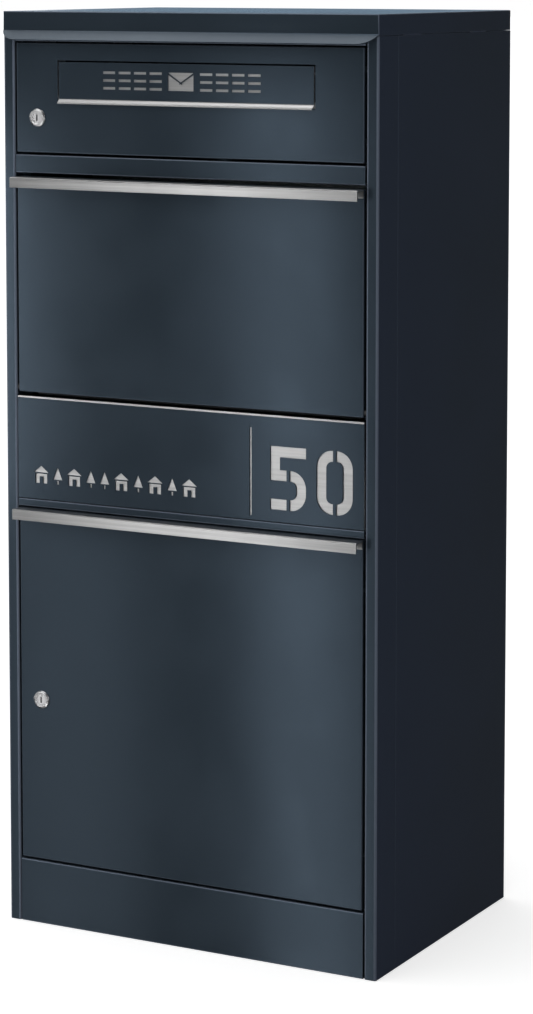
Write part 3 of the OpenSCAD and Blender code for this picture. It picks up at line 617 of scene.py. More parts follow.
@dataclass(frozen=True)
class ZincCoat(Finish):
    """Galvanised steel with soft spangles."""

    slot: Slot = Slot.GALVANISED
    name: str = "zinc_coated_steel"
    dark: Colour = (0.46, 0.48, 0.50)
    light: Colour = (0.58, 0.60, 0.62)
    spangle: float = 12 * MM
    roughness: float = 0.38
    mark: float = 50 * MM
    metallic: float = 0.9
    cloud_share: float = 0.3
    spangle_share: float = 0.6
    spangle_roughness: float = 0.08
    pebble: float = 2 * MM
    grain: float = 0.4 * MM
    skin: float = 0.004 * MM

    def dress(self, graph: Graph, effects: Effects, place: Socket, shader: Node) -> None:
        """Each spangle has a tone and a roughness of its own.

        Args:
            graph: the material's graph.
            effects: the shared shader groups.
            place: object coordinates.
            shader: the shader whose inputs are set.
        """
        spangles = {"Vector": place, "Scale": 1.0 / self.spangle}
        cells = graph.add("ShaderNodeTexVoronoi", spangles).outputs["Color"]
        tone = graph.add("ShaderNodeSeparateColor", {0: cells})
        marks = self.effect(graph, effects.marks, place, Mark_Size=self.mark)
        cloud = graph.spread(marks["Mask"], 0.0, self.cloud_share)
        share = graph.calc("MULTIPLY_ADD", tone.outputs[0], self.spangle_share, cloud)
        metal = self.blend(graph, share, self.dark, self.light)
        graph.link(metal, shader.inputs["Base Color"])
        shader.inputs["Metallic"].default_value = self.metallic
        uneven = tone.outputs[1]
        rough = graph.calc("MULTIPLY_ADD", uneven, self.spangle_roughness, self.roughness)
        graph.link(rough, shader.inputs["Roughness"])
        grain = self.effect(
            graph, effects.grain, place, Pebble_Size=self.pebble, Grain_Size=self.grain
        )
        self.relief(graph, grain["Height"], self.skin, shader)


@dataclass(frozen=True)
class MouldedPolymer(Finish):
    """Matt rubber or nylon with a moulded grain."""

    slot: Slot = Slot.BUFFER_RUBBER
    name: str = "buffer_rubber"
    dark: Colour = (0.010, 0.010, 0.011)
    light: Colour = (0.022, 0.022, 0.023)
    dusty: Colour = (0.06, 0.06, 0.06)
    roughness: float = 0.6
    grain_roughness: float = 0.15
    patch: float = 6 * MM
    dust_and_sheen_share: float = 0.2
    pebble: float = 0.6 * MM
    grain: float = 0.2 * MM
    skin: float = 0.02 * MM

    def dress(self, graph: Graph, effects: Effects, place: Socket, shader: Node) -> None:
        """Tone, roughness and relief follow the moulded grain.

        Args:
            graph: the material's graph.
            effects: the shared shader groups.
            place: object coordinates.
            shader: the shader whose inputs are set.
        """
        grain = self.effect(
            graph, effects.grain, place, Pebble_Size=self.pebble, Grain_Size=self.grain
        )
        dust_and_sheen = self.effect(
            graph, effects.dust_and_sheen, place, Patch_Size=self.patch, Amount=self.dust_and_sheen_share
        )
        body = self.blend(graph, grain["Tone"], self.dark, self.light)
        colour = self.blend(graph, dust_and_sheen["Mask"], body, self.dusty)
        graph.link(colour, shader.inputs["Base Color"])
        rough = graph.calc("MULTIPLY_ADD", grain["Tone"], self.grain_roughness, self.roughness)
        graph.link(rough, shader.inputs["Roughness"])
        self.relief(graph, grain["Height"], self.skin, shader)


class Finishes:
    """The cabinet's finishes, one material for each slot."""

    def __init__(self) -> None:
        """Builds the shared effects and then every material."""
        effects = Effects()
        kinds: Sequence[Finish] = (
            PowderCoat(),
            BrushedStainless(),
            NickelPlate(),
            ZincCoat(),
            MouldedPolymer(),
            MouldedPolymer(slot=Slot.WASHER_NYLON, name="washer_nylon", roughness=0.42),
        )
        self._materials = {kind.slot: kind.material(effects) for kind in kinds}

    def of(self, slot: Slot) -> bpy.types.Material:
        """The material of a slot."""
        return self._materials[slot]


# ------------------------------------------------------------------ geometry trees


def geometry_tree(name: str, inputs: dict[str, str]) -> tuple[Tree, Graph, Node]:
    """Makes an empty geometry tree.

    Args:
        name: the tree's name.
        inputs: socket type for each input's name, after the geometry itself.

    Returns:
        The tree, a graph on it and its input node.
    """
    tree = bpy.data.node_groups.new(name, "GeometryNodeTree")
    tree.interface.new_socket("Geometry", in_out="INPUT", socket_type="NodeSocketGeometry")
    for label, kind in inputs.items():
        tree.interface.new_socket(label, in_out="INPUT", socket_type=kind)
    tree.interface.new_socket("Geometry", in_out="OUTPUT", socket_type="NodeSocketGeometry")
    graph = Graph(tree)
    return tree, graph, graph.add("NodeGroupInput")


def close_tree(graph: Graph, geometry: Socket, material: object) -> None:
    """Ends a geometry tree with Realize Instances and Set Material.

    Args:
        graph: the tree's graph.
        geometry: what the tree has made.
        material: the finish, as a socket of the tree.
    """
    solid = graph.add("GeometryNodeRealizeInstances", {"Geometry": geometry}).outputs[0]
    dressed = graph.add("GeometryNodeSetMaterial", {"Geometry": solid, "Material": material})
    graph.add("NodeGroupOutput", {0: dressed.outputs[0]})


def grown(tree: Tree, base: bpy.types.Mesh, values: dict[str, object]) -> bpy.types.Mesh:
    """Runs a geometry tree on a mesh.

    Args:
        tree: the tree.
        base: the mesh that goes in.
        values: a value for each of the tree's named inputs.

    Returns:
        The plain mesh that comes out.
    """
    carrier = in_scene(f"{tree.name}_carrier", base)
    modifier = carrier.modifiers.new(tree.name, "NODES")
    modifier.node_group = tree
    for item in tree.interface.items_tree:
        if item.item_type == "SOCKET" and item.in_out == "INPUT" and item.name in values:
            modifier[item.identifier] = values[item.name]
    graph = bpy.context.evaluated_depsgraph_get()
    made = bpy.data.meshes.new_from_object(carrier.evaluated_get(graph))
    carrier.modifiers.remove(modifier)
    bpy.data.objects.remove(carrier)
    return made


@dataclass
class RolledChannel:
    """A sheet profile rolled along its length, with a radius at each of its corners."""

    arc_steps: int = 6

    def __post_init__(self) -> None:
        """Builds the tree that rounds the profile and extrudes it."""
        tree, graph, given = geometry_tree(
            "rolled_channel",
            {
                "Length": FLOAT,
                "Arc Steps": "NodeSocketInt",
                "Material": "NodeSocketMaterial",
            },
        )
        radius = graph.add(
            "GeometryNodeInputNamedAttribute", {"Name": "corner_radius"}, data_type="FLOAT"
        )
        line = graph.add("GeometryNodeMeshToCurve", {0: given.outputs["Geometry"]}).outputs[0]
        rounded = graph.add(
            "GeometryNodeFilletCurve",
            {
                "Curve": line,
                "Count": given.outputs["Arc Steps"],
                "Radius": radius.outputs["Attribute"],
                "Limit Radius": True,
            },
            mode="POLY",
        ).outputs[0]
        end = graph.add("GeometryNodeFillCurve", {"Curve": rounded}, mode="NGONS").outputs[0]
        along = graph.add("ShaderNodeCombineXYZ", {2: given.outputs["Length"]}).outputs[0]
        wall = graph.add(
            "GeometryNodeExtrudeMesh",
            {"Mesh": end, "Offset": along, "Offset Scale": 1.0, "Individual": False},
            mode="FACES",
        ).outputs[0]
        back = graph.add("GeometryNodeFlipFaces", {0: end}).outputs[0]
        both = graph.add("GeometryNodeJoinGeometry")
        for part in (wall, back):
            graph.link(part, both.inputs[0])
        joined = graph.add("GeometryNodeMergeByDistance", {"Geometry": both.outputs[0]})
        joined.inputs["Distance"].default_value = MERGE_DISTANCE
        close_tree(graph, joined.outputs[0], given.outputs["Material"])
        self.tree = tree

    def roll(
        self,
        outline: Sequence[Place],
        length: float,
        place: Matrix,
        material: bpy.types.Material,
    ) -> Solid:
        """Rolls a profile.

        Args:
            outline: across, up and corner radius of each corner, going round the sheet.
            length: length of the channel, along the profile's own third axis.
            place: from the profile's axes to the cabinet's.
            material: finish of the channel.

        Returns:
            The channel's mesh, in place.
        """
        base = bpy.data.meshes.new("profile")
        count = len(outline)
        base.from_pydata(
            [(x, y, 0.0) for x, y, _ in outline], [(i, (i + 1) % count) for i in range(count)], []
        )
        radii = base.attributes.new("corner_radius", "FLOAT", "POINT")
        radii.data.foreach_set("value", [r for _, _, r in outline])
        values = {"Length": length, "Arc Steps": self.arc_steps, "Material": material}
        data = grown(self.tree, base, values)
        mesh = bmesh.new()
        mesh.from_mesh(data)
        mesh.transform(place)
        bmesh.ops.recalc_face_normals(mesh, faces=mesh.faces)
        if mesh.calc_volume(signed=True) < 0:
            bmesh.ops.reverse_faces(mesh, faces=mesh.faces)
        return mesh


class PrototypeSetter:
    """Copies of one prototype on given places, each turned by its own angle."""

    def __init__(self) -> None:
        """Builds the tree. The geometry that goes in holds the places as points."""
        tree, graph, given = geometry_tree(
            "prototype_setter",
            {
                "Prototype": "NodeSocketObject",
                "Turn Axis": VECTOR,
                "Seed": "NodeSocketInt",
                "Material": "NodeSocketMaterial",
            },
        )
        shape = graph.add("GeometryNodeObjectInfo", {"Object": given.outputs["Prototype"]})
        angle = graph.add(
            "FunctionNodeRandomValue",
            {2: 0.0, 3: 2 * math.pi, "Seed": given.outputs["Seed"]},
            data_type="FLOAT",
        ).outputs[1]
        turn = graph.add(
            "ShaderNodeVectorMath",
            {0: given.outputs["Turn Axis"], "Scale": angle},
            operation="SCALE",
        ).outputs[0]
        placed = graph.add(
            "GeometryNodeInstanceOnPoints",
            {
                "Points": given.outputs["Geometry"],
                "Instance": shape.outputs["Geometry"],
                "Rotation": turn,
            },
        ).outputs[0]
        close_tree(graph, placed, given.outputs["Material"])
        self.tree = tree

    def set(
        self,
        prototype: Solid,
        places: Sequence[Vector],
        axis: Vector,
        seed: int,
        material: bpy.types.Material,
    ) -> Solid:
        """Sets a prototype on its places.

        Args:
            prototype: the prototype about the origin. It is freed.
            places: the centres of the copies.
            axis: axis that each copy is turned about, or zero for no turn.
            seed: seed of the angles.
            material: finish of the copies.

        Returns:
            One mesh with all copies.
        """
        shape = bpy.data.meshes.new("prototype")
        prototype.to_mesh(shape)
        prototype.free()
        model = in_scene("prototype", shape)
        points = bpy.data.meshes.new("places")
        points.from_pydata([tuple(p) for p in places], [], [])
        values = {"Prototype": model, "Turn Axis": tuple(axis), "Seed": seed, "Material": material}
        mesh = bmesh.new()
        mesh.from_mesh(grown(self.tree, points, values))
        bpy.data.objects.remove(model)
        return mesh


# ------------------------------------------------------------------ mesh work


def merged_copy(node: str) -> Solid:
    """Copies a CAD node's mesh with its loose triangles joined and its flat faces dissolved.

    Args:
        node: the CAD node.

    Returns:
        The joined mesh.
    """
    mesh = bmesh.new()
    mesh.from_mesh(frame["nodes"][node].data)
    bmesh.ops.remove_doubles(mesh, verts=mesh.verts, dist=MERGE_DISTANCE)
    bmesh.ops.dissolve_limit(
        mesh, angle_limit=FLAT_ANGLE, verts=mesh.verts, edges=mesh.edges, delimit={"NORMAL"}
    )
    return mesh


def is_corner(edge: bmesh.types.BMEdge) -> bool:
    """True for an outward corner between two faces."""
    return edge.is_manifold and edge.is_convex and edge.calc_face_angle() > CORNER_ANGLE


def connected(items: Iterable, neighbours: Callable[[object], Iterable]) -> Iterator[list]:
    """Gathers items that hang together.

    Args:
        items: faces or vertices of one mesh, with their indices up to date.
        neighbours: gives the items next to one.

    Yields:
        Each group of items.
    """
    seen: set[int] = set()
    for start in items:
        if start.index in seen:
            continue
        seen.add(start.index)
        group = [start]
        for item in group:
            for other in neighbours(item):
                if other.index not in seen:
                    seen.add(other.index)
                    group.append(other)
        yield group


def is_level(edge: bmesh.types.BMEdge) -> bool:
    """True for an edge inside one flat surface."""
    return edge.is_manifold and edge.calc_face_angle() < FLAT_ANGLE * 2


def surface_breadths(mesh: Solid) -> dict[int, float]:
    """Measures how broad each flat surface is.

    Args:
        mesh: a mesh with joined faces.

    Returns:
        For each face's index, twice the area over the outline of the flat surface it is in.
    """
    breadth: dict[int, float] = {}
    mesh.faces.index_update()
    for group in connected(
        mesh.faces, lambda face: (f for e in face.edges if is_level(e) for f in e.link_faces)
    ):
        area = sum(face.calc_area() for face in group)
        outline = sum(e.calc_length() for f in group for e in f.edges if not is_level(e))
        for face in group:
            breadth[face.index] = 2 * area / max(outline, LEAST_LENGTH)
    return breadth


def bevel(
    mesh: Solid, edges: list[bmesh.types.BMEdge], size: float, steps: int
) -> list[bmesh.types.BMFace]:
    """Rounds edges of a mesh.

    Args:
        mesh: the mesh.
        edges: the edges to round.
        size: distance from the corner to where the round starts.
        steps: faces across the round.

    Returns:
        The faces of the rounds.
    """
    if not edges or size <= 0:
        return []
    made = bmesh.ops.bevel(
        mesh,
        geom=edges,
        offset=size,
        offset_type="OFFSET",
        segments=steps,
        profile=0.5,
        affect="EDGES",
        clamp_overlap=False,
    )
    return made["faces"]


def keep_inside(mesh: Solid, node: str) -> None:
    """Draws the points that a round pushed out of a node's box back to it.

    Args:
        mesh: the node's eased copy.
        node: the CAD node's name.
    """
    low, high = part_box(node)
    for vert in mesh.verts:
        vert.co = [min(max(value, low[i]), high[i]) for i, value in enumerate(vert.co)]


def shade(mesh: Solid) -> None:
    """Smooths the shading over rounds and keeps real corners sharp.

    Args:
        mesh: the piece's mesh.
    """
    for face in mesh.faces:
        face.smooth = True
    for edge in mesh.edges:
        edge.smooth = edge.is_manifold and edge.calc_face_angle() < SHARP_ANGLE


def solid_centres(node: str) -> list[Vector]:
    """Finds the middle of each separate solid in a CAD node.

    Args:
        node: the CAD node.

    Returns:
        The middles of the solids' boxes.
    """
    mesh = merged_copy(node)
    mesh.verts.index_update()
    centres = []
    for group in connected(mesh.verts, lambda vert: (e.other_vert(vert) for e in vert.link_edges)):
        low, high = (Vector(pick(v.co[i] for v in group) for i in range(3)) for pick in (min, max))
        centres.append((low + high) / 2)
    mesh.free()
    return centres


def turned(profile: Sequence[Point], segments: int = 48, ring: bool = False) -> Solid:
    """Turns an outline about the Y axis.

    Args:
        profile: radius and depth of each point. Those at radius 0 lie on the axis.
        segments: steps round the axis.
        ring: joins the last point to the first.

    Returns:
        The closed solid.
    """
    mesh = bmesh.new()
    turn = [2 * math.pi * i / segments for i in range(segments)]
    rings = []
    for radius, depth in profile:
        around = turn if radius > 0 else turn[:1]
        points = [(radius * math.cos(a), depth, radius * math.sin(a)) for a in around]
        rings.append([mesh.verts.new(point) for point in points])
    for first, second in zip(rings, rings[1:] + (rings[:1] if ring else [])):
        for i in range(segments):
            j = (i + 1) % segments
            corners = [first[i % len(first)], first[j % len(first)]]
            corners += [second[j % len(second)], second[i % len(second)]]
            mesh.faces.new(tuple(dict.fromkeys(corners)))
    bmesh.ops.recalc_face_normals(mesh, faces=mesh.faces)
    return mesh


def joined(meshes: Iterable[Solid]) -> Solid:
    """Puts several meshes into one.

    Args:
        meshes: the meshes. They are freed.

    Returns:
        The one mesh.
    """
    whole = bmesh.new()
    for mesh in meshes:
        data = bpy.data.meshes.new("part")
        mesh.to_mesh(data)
        mesh.free()
        whole.from_mesh(data)
        bpy.data.meshes.remove(data)
    return whole


# ------------------------------------------------------------------ pieces


@dataclass
class Workshop:
    """Turns finished meshes into pieces that ride on the cabinet's bodies."""

    finishes: Finishes = field(default_factory=Finishes)
    roller: RolledChannel = field(default_factory=RolledChannel)
    setter: PrototypeSetter = field(default_factory=PrototypeSetter)
    made: list[str] = field(default_factory=list)

    def piece(self, name: str, mesh: Solid, slot: Slot, body: Body, node: str) -> bpy.types.Object:
        """Makes a piece.

        Args:
            name: the piece's name.
            mesh: its mesh, in place. It is freed.
            slot: the material slot of its finish.
            body: the body that it rides on.
            node: the CAD node that it stands for.

        Returns:
            The piece.
        """
        shade(mesh)
        data = bpy.data.meshes.new(name)
        mesh.to_mesh(data)
        mesh.free()
        data.materials.clear()
        data.materials.append(self.finishes.of(slot))
        made = in_scene(name, data)
        made.modifiers.new("even_shading", "WEIGHTED_NORMAL").keep_sharp = True
        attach(made, body.value)
        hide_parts(node)
        self.made.append(name)
        log.info("%s: %d faces on %s", name, len(data.polygons), body.value)
        return made


class Assembly:
    """Pieces that are made together."""

    def build(self, shop: Workshop) -> None:
        """Makes the pieces in the given workshop."""
        raise NotImplementedError


@dataclass
class FoldedSheet(Assembly):
    """A sheet part: its folds are rounded, and its cut edges are eased.

    How much painted highlight its rounds and narrow cut faces get goes with them as an attribute.
    """

    node: str
    body: Body
    slot: Slot = Slot.POWDER_COAT
    fold: float = 1.3 * MM
    ease: float = 0.25 * MM
    fold_steps: int = 4
    ease_steps: int = 2
    broad: float = 2.2 * MM
    narrow: float = 0.9 * MM
    # Share of the painted highlight that folds and narrow cut faces get
    highlight_amount: float = 0.3

    def build(self, shop: Workshop) -> None:
        """Makes the sheet, which stands for the CAD node.

        Args:
            shop: where the pieces are made.
        """
        mesh = merged_copy(self.node)
        breadth = surface_breadths(mesh)
        folds = [
            edge
            for edge in mesh.edges
            if is_corner(edge)
            and all(breadth[face.index] > self.broad for face in edge.link_faces)
        ]
        # Marks the painted highlight: full on narrow cut faces and folds, half on eased edges
        mark = mesh.faces.layers.float.new(FOLD_HIGHLIGHT_MARK)
        for face in mesh.faces:
            face[mark] = self.highlight_amount if breadth[face.index] < self.narrow else 0.0
        for face in bevel(mesh, folds, self.fold, self.fold_steps):
            face[mark] = self.highlight_amount
        corners = [e for e in mesh.edges if is_corner(e)]
        for face in bevel(mesh, corners, self.ease, self.ease_steps):
            face[mark] = self.highlight_amount / 2
        keep_inside(mesh, self.node)
        shop.piece(f"{self.node}_sheet", mesh, self.slot, self.body, self.node)


@dataclass
class EasedPart(FoldedSheet):
    """A thick or turned part whose corners are only eased."""

    fold: float = 0.35 * MM
    fold_steps: int = 2


# ------------------------------------------------------------------ sub-assemblies


@dataclass
class CabinetShell(Assembly):
    """The fixed outer sheets, the front's posts and rails, and the shelves inside."""

    panel_fold: float = 1.3 * MM
    roof_fold: float = 1.1 * MM
    outer: tuple[str, ...] = (
        "left_side_panel",
        "right_side_panel",
        "rear_panel",
        "left_front_post",
        "right_front_post",
        "header_rail",
        "upper_rail",
        "middle_rail",
        "plinth_panel",
        "base_plate",
        "compartment_floor",
        "letter_shelf",
    )
    inner: tuple[str, ...] = ("parcel_guard", "roof_cleats")

    def build(self, shop: Workshop) -> None:
        """Makes every sheet of the shell.

        Args:
            shop: where the pieces are made.
        """
        # The outer sheets get the full painted highlight over folds and cut faces
        for node in self.outer:
            FoldedSheet(node, Body.CABINET, fold=self.panel_fold, highlight_amount=1.0).build(shop)
        for node in self.inner:
            FoldedSheet(node, Body.CABINET, Slot.GALVANISED, fold=self.panel_fold).build(shop)
        # The roof gets the full painted highlight over its folds and cut faces
        FoldedSheet("roof_lid", Body.CABINET, fold=self.roof_fold, highlight_amount=1.0).build(shop)


@dataclass
class AddressPanel(Assembly):
    """The stencilled plate over its brushed backing."""

    edge: float = 0.2 * MM
    backing: float = 0.8 * MM

    def build(self, shop: Workshop) -> None:
        """Makes the plate and its backing.

        Args:
            shop: where the pieces are made.
        """
        face = FoldedSheet("address_face_plate", Body.CABINET, fold=self.edge, ease=self.edge)
        face.build(shop)
        FoldedSheet(
            "address_backing_plate", Body.CABINET, Slot.STAINLESS, fold=self.backing, ease=self.edge
        ).build(shop)


@dataclass
class SideHinges(Assembly):
    """Brackets and pins in the right post, and the hooked arms of both side-hung doors."""

    ease: float = 0.35 * MM

    def build(self, shop: Workshop) -> None:
        """Makes the hinges' fixed and swinging parts.

        Args:
            shop: where the pieces are made.
        """
        parts = (
            ("side_hinge_brackets", Body.CABINET),
            ("side_hinge_pins", Body.CABINET),
            ("letter_door_hinge_arms", Body.LETTER_DOOR),
            ("collection_door_hinge_arms", Body.COLLECTION_DOOR),
        )
        for node, body in parts:
            EasedPart(node, body, Slot.GALVANISED, fold=self.ease).build(shop)


@dataclass
class PullHandle(Assembly):
    """A brushed channel that hooks over a door's top and opens downward."""

    node: str
    body: Body
    thickness: float = 1.5 * MM
    front_leg: float = 12.5 * MM
    back_leg: float = 10 * MM
    bend: float = 2.2 * MM
    edge: float = 0.3 * MM

    def build(self, shop: Workshop) -> None:
        """Rolls the channel.

        Args:
            shop: where the pieces are made.
        """
        low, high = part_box(self.node)
        reach, t = high.y - low.y, self.thickness
        inner = self.bend - t
        outline = (
            (0, -self.back_leg, self.edge),
            (0, 0, self.bend),
            (-reach, 0, self.bend),
            (-reach, -self.front_leg, self.edge),
            (t - reach, -self.front_leg, self.edge),
            (t - reach, -t, inner),
            (-t, -t, inner),
            (-t, -self.back_leg, self.edge),
        )
        place = Matrix(((0, 0, 1, low.x), (1, 0, 0, high.y), (0, 1, 0, high.z), (0, 0, 0, 1)))
        mesh = shop.roller.roll(outline, high.x - low.x, place, shop.finishes.of(Slot.STAINLESS))
        shop.piece(f"{self.node}_channel", mesh, Slot.STAINLESS, self.body, self.node)


@dataclass
class DoorStiffener(Assembly):
    """The hat-shaped channel up the middle of the collection door's inside."""

    node: str = "collection_door_stiffener"
    slot: Slot = Slot.GALVANISED
    crown: float = 40 * MM
    thickness: float = 1.2 * MM
    bend: float = 2.0 * MM
    edge: float = 0.25 * MM

    def build(self, shop: Workshop) -> None:
        """Rolls the channel.

        Args:
            shop: where the pieces are made.
        """
        low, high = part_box(self.node)
        wide, deep, t = high.x - low.x, high.y - low.y, self.thickness
        brim = (wide - self.crown) / 2
        inner = self.bend - t
        outline = (
            (0, 0, self.edge),
            (brim + t, 0, inner),
            (brim + t, deep - t, inner),
            (wide - brim - t, deep - t, inner),
            (wide - brim - t, 0, inner),
            (wide, 0, self.edge),
            (wide, t, self.edge),
            (wide - brim, t, self.bend),
            (wide - brim, deep, self.bend),
            (brim, deep, self.bend),
            (brim, t, self.bend),
            (0, t, self.edge),
        )
        place = Matrix.Translation(low)
        mesh = shop.roller.roll(outline, high.z - low.z, place, shop.finishes.of(self.slot))
        shop.piece(f"{self.node}_channel", mesh, self.slot, Body.COLLECTION_DOOR, self.node)


@dataclass
class CamLock(Assembly):
    """A cam lock: housing with a brow and a threaded barrel, plug, nut, cam and cam screw.

    The outline's points are in millimetres. The mouth's are outward from the bore and back from
    the face, the groove's outward from the flat and back from the face, and the dome's inward
    from the edge and forward from the rim.
    """

    prefix: str
    door: Body
    turning: Body
    door_face: float = -180 * MM
    bore: float = 6.05 * MM
    rim: float = 1.0 * MM
    face: float = 2.6 * MM
    flat_radius: float = 7.6 * MM
    barrel: float = 9 * MM
    barrel_length: float = 19.5 * MM
    thread_pitch: float = 1.0 * MM
    thread_depth: float = 0.4 * MM
    brow_radius: float = 10.15 * MM
    brow_inner: float = 9.85 * MM
    brow_shift: float = 2.4 * MM
    brow_height: float = 0.9 * MM
    brow_root: float = 1.2 * MM
    soft: float = 0.15 * MM
    small: float = 0.3 * MM
    screw_edge: float = 0.5 * MM
    thread_start: float = 1.4 * MM
    thread_lead: float = 0.2 * MM
    thread_tail: float = 0.4 * MM
    thread_crest: float = 0.15
    end_chamfer: float = 0.5 * MM
    mouth: tuple[Point, ...] = ((0.0, 0.45), (0.35, 0.05), (0.45, 0.0))
    groove: tuple[Point, ...] = ((0.15, 0.06), (0.35, 0.40), (0.65, 0.40), (0.85, 0.22))
    dome: tuple[Point, ...] = ((1.0, 0.85), (0.6, 0.62), (0.2, 0.25), (0.0, -0.1))

    def _housing(self, radius: float) -> Solid:
        """Turns the rosette and the threaded barrel.

        Args:
            radius: the rosette's radius.

        Returns:
            The closed housing.
        """
        soft, flat, barrel = self.soft, self.flat_radius, self.barrel
        loop = [(self.bore, self.barrel_length)]
        loop += [(self.bore + out * MM, -self.face + back * MM) for out, back in self.mouth]
        loop += [(flat - soft, -self.face)]
        loop += [(flat + out * MM, -self.face + back * MM) for out, back in self.groove]
        loop += [(radius - inward * MM, -self.rim - up * MM) for inward, up in self.dome]
        loop += [(radius, -soft), (radius - soft, 0.0)]
        loop += [(barrel, 0.0), (barrel, self.thread_start - self.thread_lead)]
        depth, pitch = self.thread_start, self.thread_pitch
        while depth + pitch < self.barrel_length - self.thread_tail:
            loop.append((barrel, depth + self.thread_crest * pitch))
            loop.append((barrel - self.thread_depth, depth + pitch / 2))
            loop.append((barrel, depth + (1 - self.thread_crest) * pitch))
            depth += pitch
        loop.append((barrel - self.end_chamfer, self.barrel_length))
        return turned(loop, BARREL_SEGMENTS, ring=True)

    def _brow(self, steps: int = 40, across: int = 10) -> Solid:
        """Sweeps the raised crescent over the keyhole.

        Args:
            steps: steps along the crescent.
            across: steps over its section.

        Returns:
            The closed crescent.
        """
        mesh = bmesh.new()
        rows = []
        for i in range(steps + 1):
            turn = math.pi * i / steps
            lift = self.brow_shift * math.cos(turn)
            inside = math.sqrt(self.brow_inner**2 - lift**2) - self.brow_shift * math.sin(turn)
            middle, half = (self.brow_radius + inside) / 2, (self.brow_radius - inside) / 2
            rise = self.brow_height * math.sin(turn) ** 0.5
            base, top = self.brow_root, self.face + rise
            row = []
            for k in range(across + 1):
                swing = math.pi * k / across
                radius = middle + half * math.cos(swing)
                depth = base + (top - base) * math.sin(swing) ** 0.5
                point = (radius * math.cos(turn), -depth, radius * math.sin(turn))
                row.append(mesh.verts.new(point))
            rows.append(row)
        for first, second in zip(rows, rows[1:]):
            for a in range(across + 1):
                b = (a + 1) % (across + 1)
                mesh.faces.new((first[a], first[b], second[b], second[a]))
        mesh.faces.new(rows[0])
        mesh.faces.new(rows[-1])
        bmesh.ops.recalc_face_normals(mesh, faces=mesh.faces)
        return mesh

    def build(self, shop: Workshop) -> None:
        """Makes the lock's parts on the door and on the turning plug.

        Args:
            shop: where the pieces are made.
        """
        node = f"{self.prefix}_lock_housing"
        low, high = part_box(node)
        centre = (low + high) / 2
        mesh = joined((self._housing((high.x - low.x) / 2), self._brow()))
        mesh.transform(Matrix.Translation((centre.x, self.door_face, centre.z)))
        shop.piece(f"{node}_turned", mesh, Slot.LOCK_CHROME, self.door, node)
        plug, nut, cam, screw = (
            f"{self.prefix}_lock_{part}" for part in ("plug", "nut", "cam", "cam_screw")
        )
        small = {"fold": self.small, "ease": self.small}
        EasedPart(plug, self.turning, Slot.LOCK_CHROME, **small).build(shop)
        EasedPart(nut, self.door, Slot.GALVANISED).build(shop)
        EasedPart(cam, self.turning, Slot.GALVANISED).build(shop)
        EasedPart(screw, self.turning, Slot.GALVANISED, fold=self.screw_edge).build(shop)


@dataclass
class LetterDoor(Assembly):
    """The upper door with its flap, chute and lock."""

    fold: float = 1.3 * MM
    flap_fold: float = 0.9 * MM
    flap_edge: float = 0.25 * MM
    backing_fold: float = 0.6 * MM

    def build(self, shop: Workshop) -> None:
        """Makes the door, its chute and its flap.

        Args:
            shop: where the pieces are made.
        """
        FoldedSheet("letter_door_panel", Body.LETTER_DOOR, fold=self.fold).build(shop)
        FoldedSheet("letter_chute", Body.LETTER_DOOR, Slot.GALVANISED, fold=self.fold).build(shop)
        FoldedSheet(
            "letter_flap_face", Body.LETTER_FLAP, fold=self.flap_fold, ease=self.flap_edge
        ).build(shop)
        FoldedSheet(
            "letter_flap_backing", Body.LETTER_FLAP, Slot.STAINLESS, fold=self.backing_fold
        ).build(shop)
        EasedPart("letter_flap_hinge_rod", Body.LETTER_FLAP, Slot.GALVANISED).build(shop)
        CamLock("letter", Body.LETTER_DOOR, Body.LETTER_LOCK).build(shop)


@dataclass
class ParcelDoor(Assembly):
    """The tilting door with the tray and cheeks behind it."""

    fold: float = 1.3 * MM
    washer_edge: float = 0.2 * MM
    inner: tuple[str, ...] = ("parcel_tray", "parcel_left_cheek", "parcel_right_cheek")

    def build(self, shop: Workshop) -> None:
        """Makes the door, its tray and its handle.

        Args:
            shop: where the pieces are made.
        """
        FoldedSheet("parcel_door_panel", Body.PARCEL_DOOR, fold=self.fold).build(shop)
        for node in self.inner:
            FoldedSheet(node, Body.PARCEL_DOOR, Slot.GALVANISED, fold=self.fold).build(shop)
        EasedPart("parcel_door_hinge_pins", Body.PARCEL_DOOR, Slot.GALVANISED).build(shop)
        washers = "parcel_hinge_washers"
        EasedPart(washers, Body.CABINET, Slot.WASHER_NYLON, fold=self.washer_edge).build(shop)
        PullHandle("parcel_door_handle", Body.PARCEL_DOOR).build(shop)


@dataclass
class CollectionDoor(Assembly):
    """The lower door with its handle, stiffener and lock."""

    fold: float = 1.3 * MM

    def build(self, shop: Workshop) -> None:
        """Makes the door and what is fixed to it.

        Args:
            shop: where the pieces are made.
        """
        FoldedSheet("collection_door_panel", Body.COLLECTION_DOOR, fold=self.fold).build(shop)
        PullHandle("collection_door_handle", Body.COLLECTION_DOOR).build(shop)
        DoorStiffener().build(shop)
        CamLock("collection", Body.COLLECTION_DOOR, Body.COLLECTION_LOCK).build(shop)


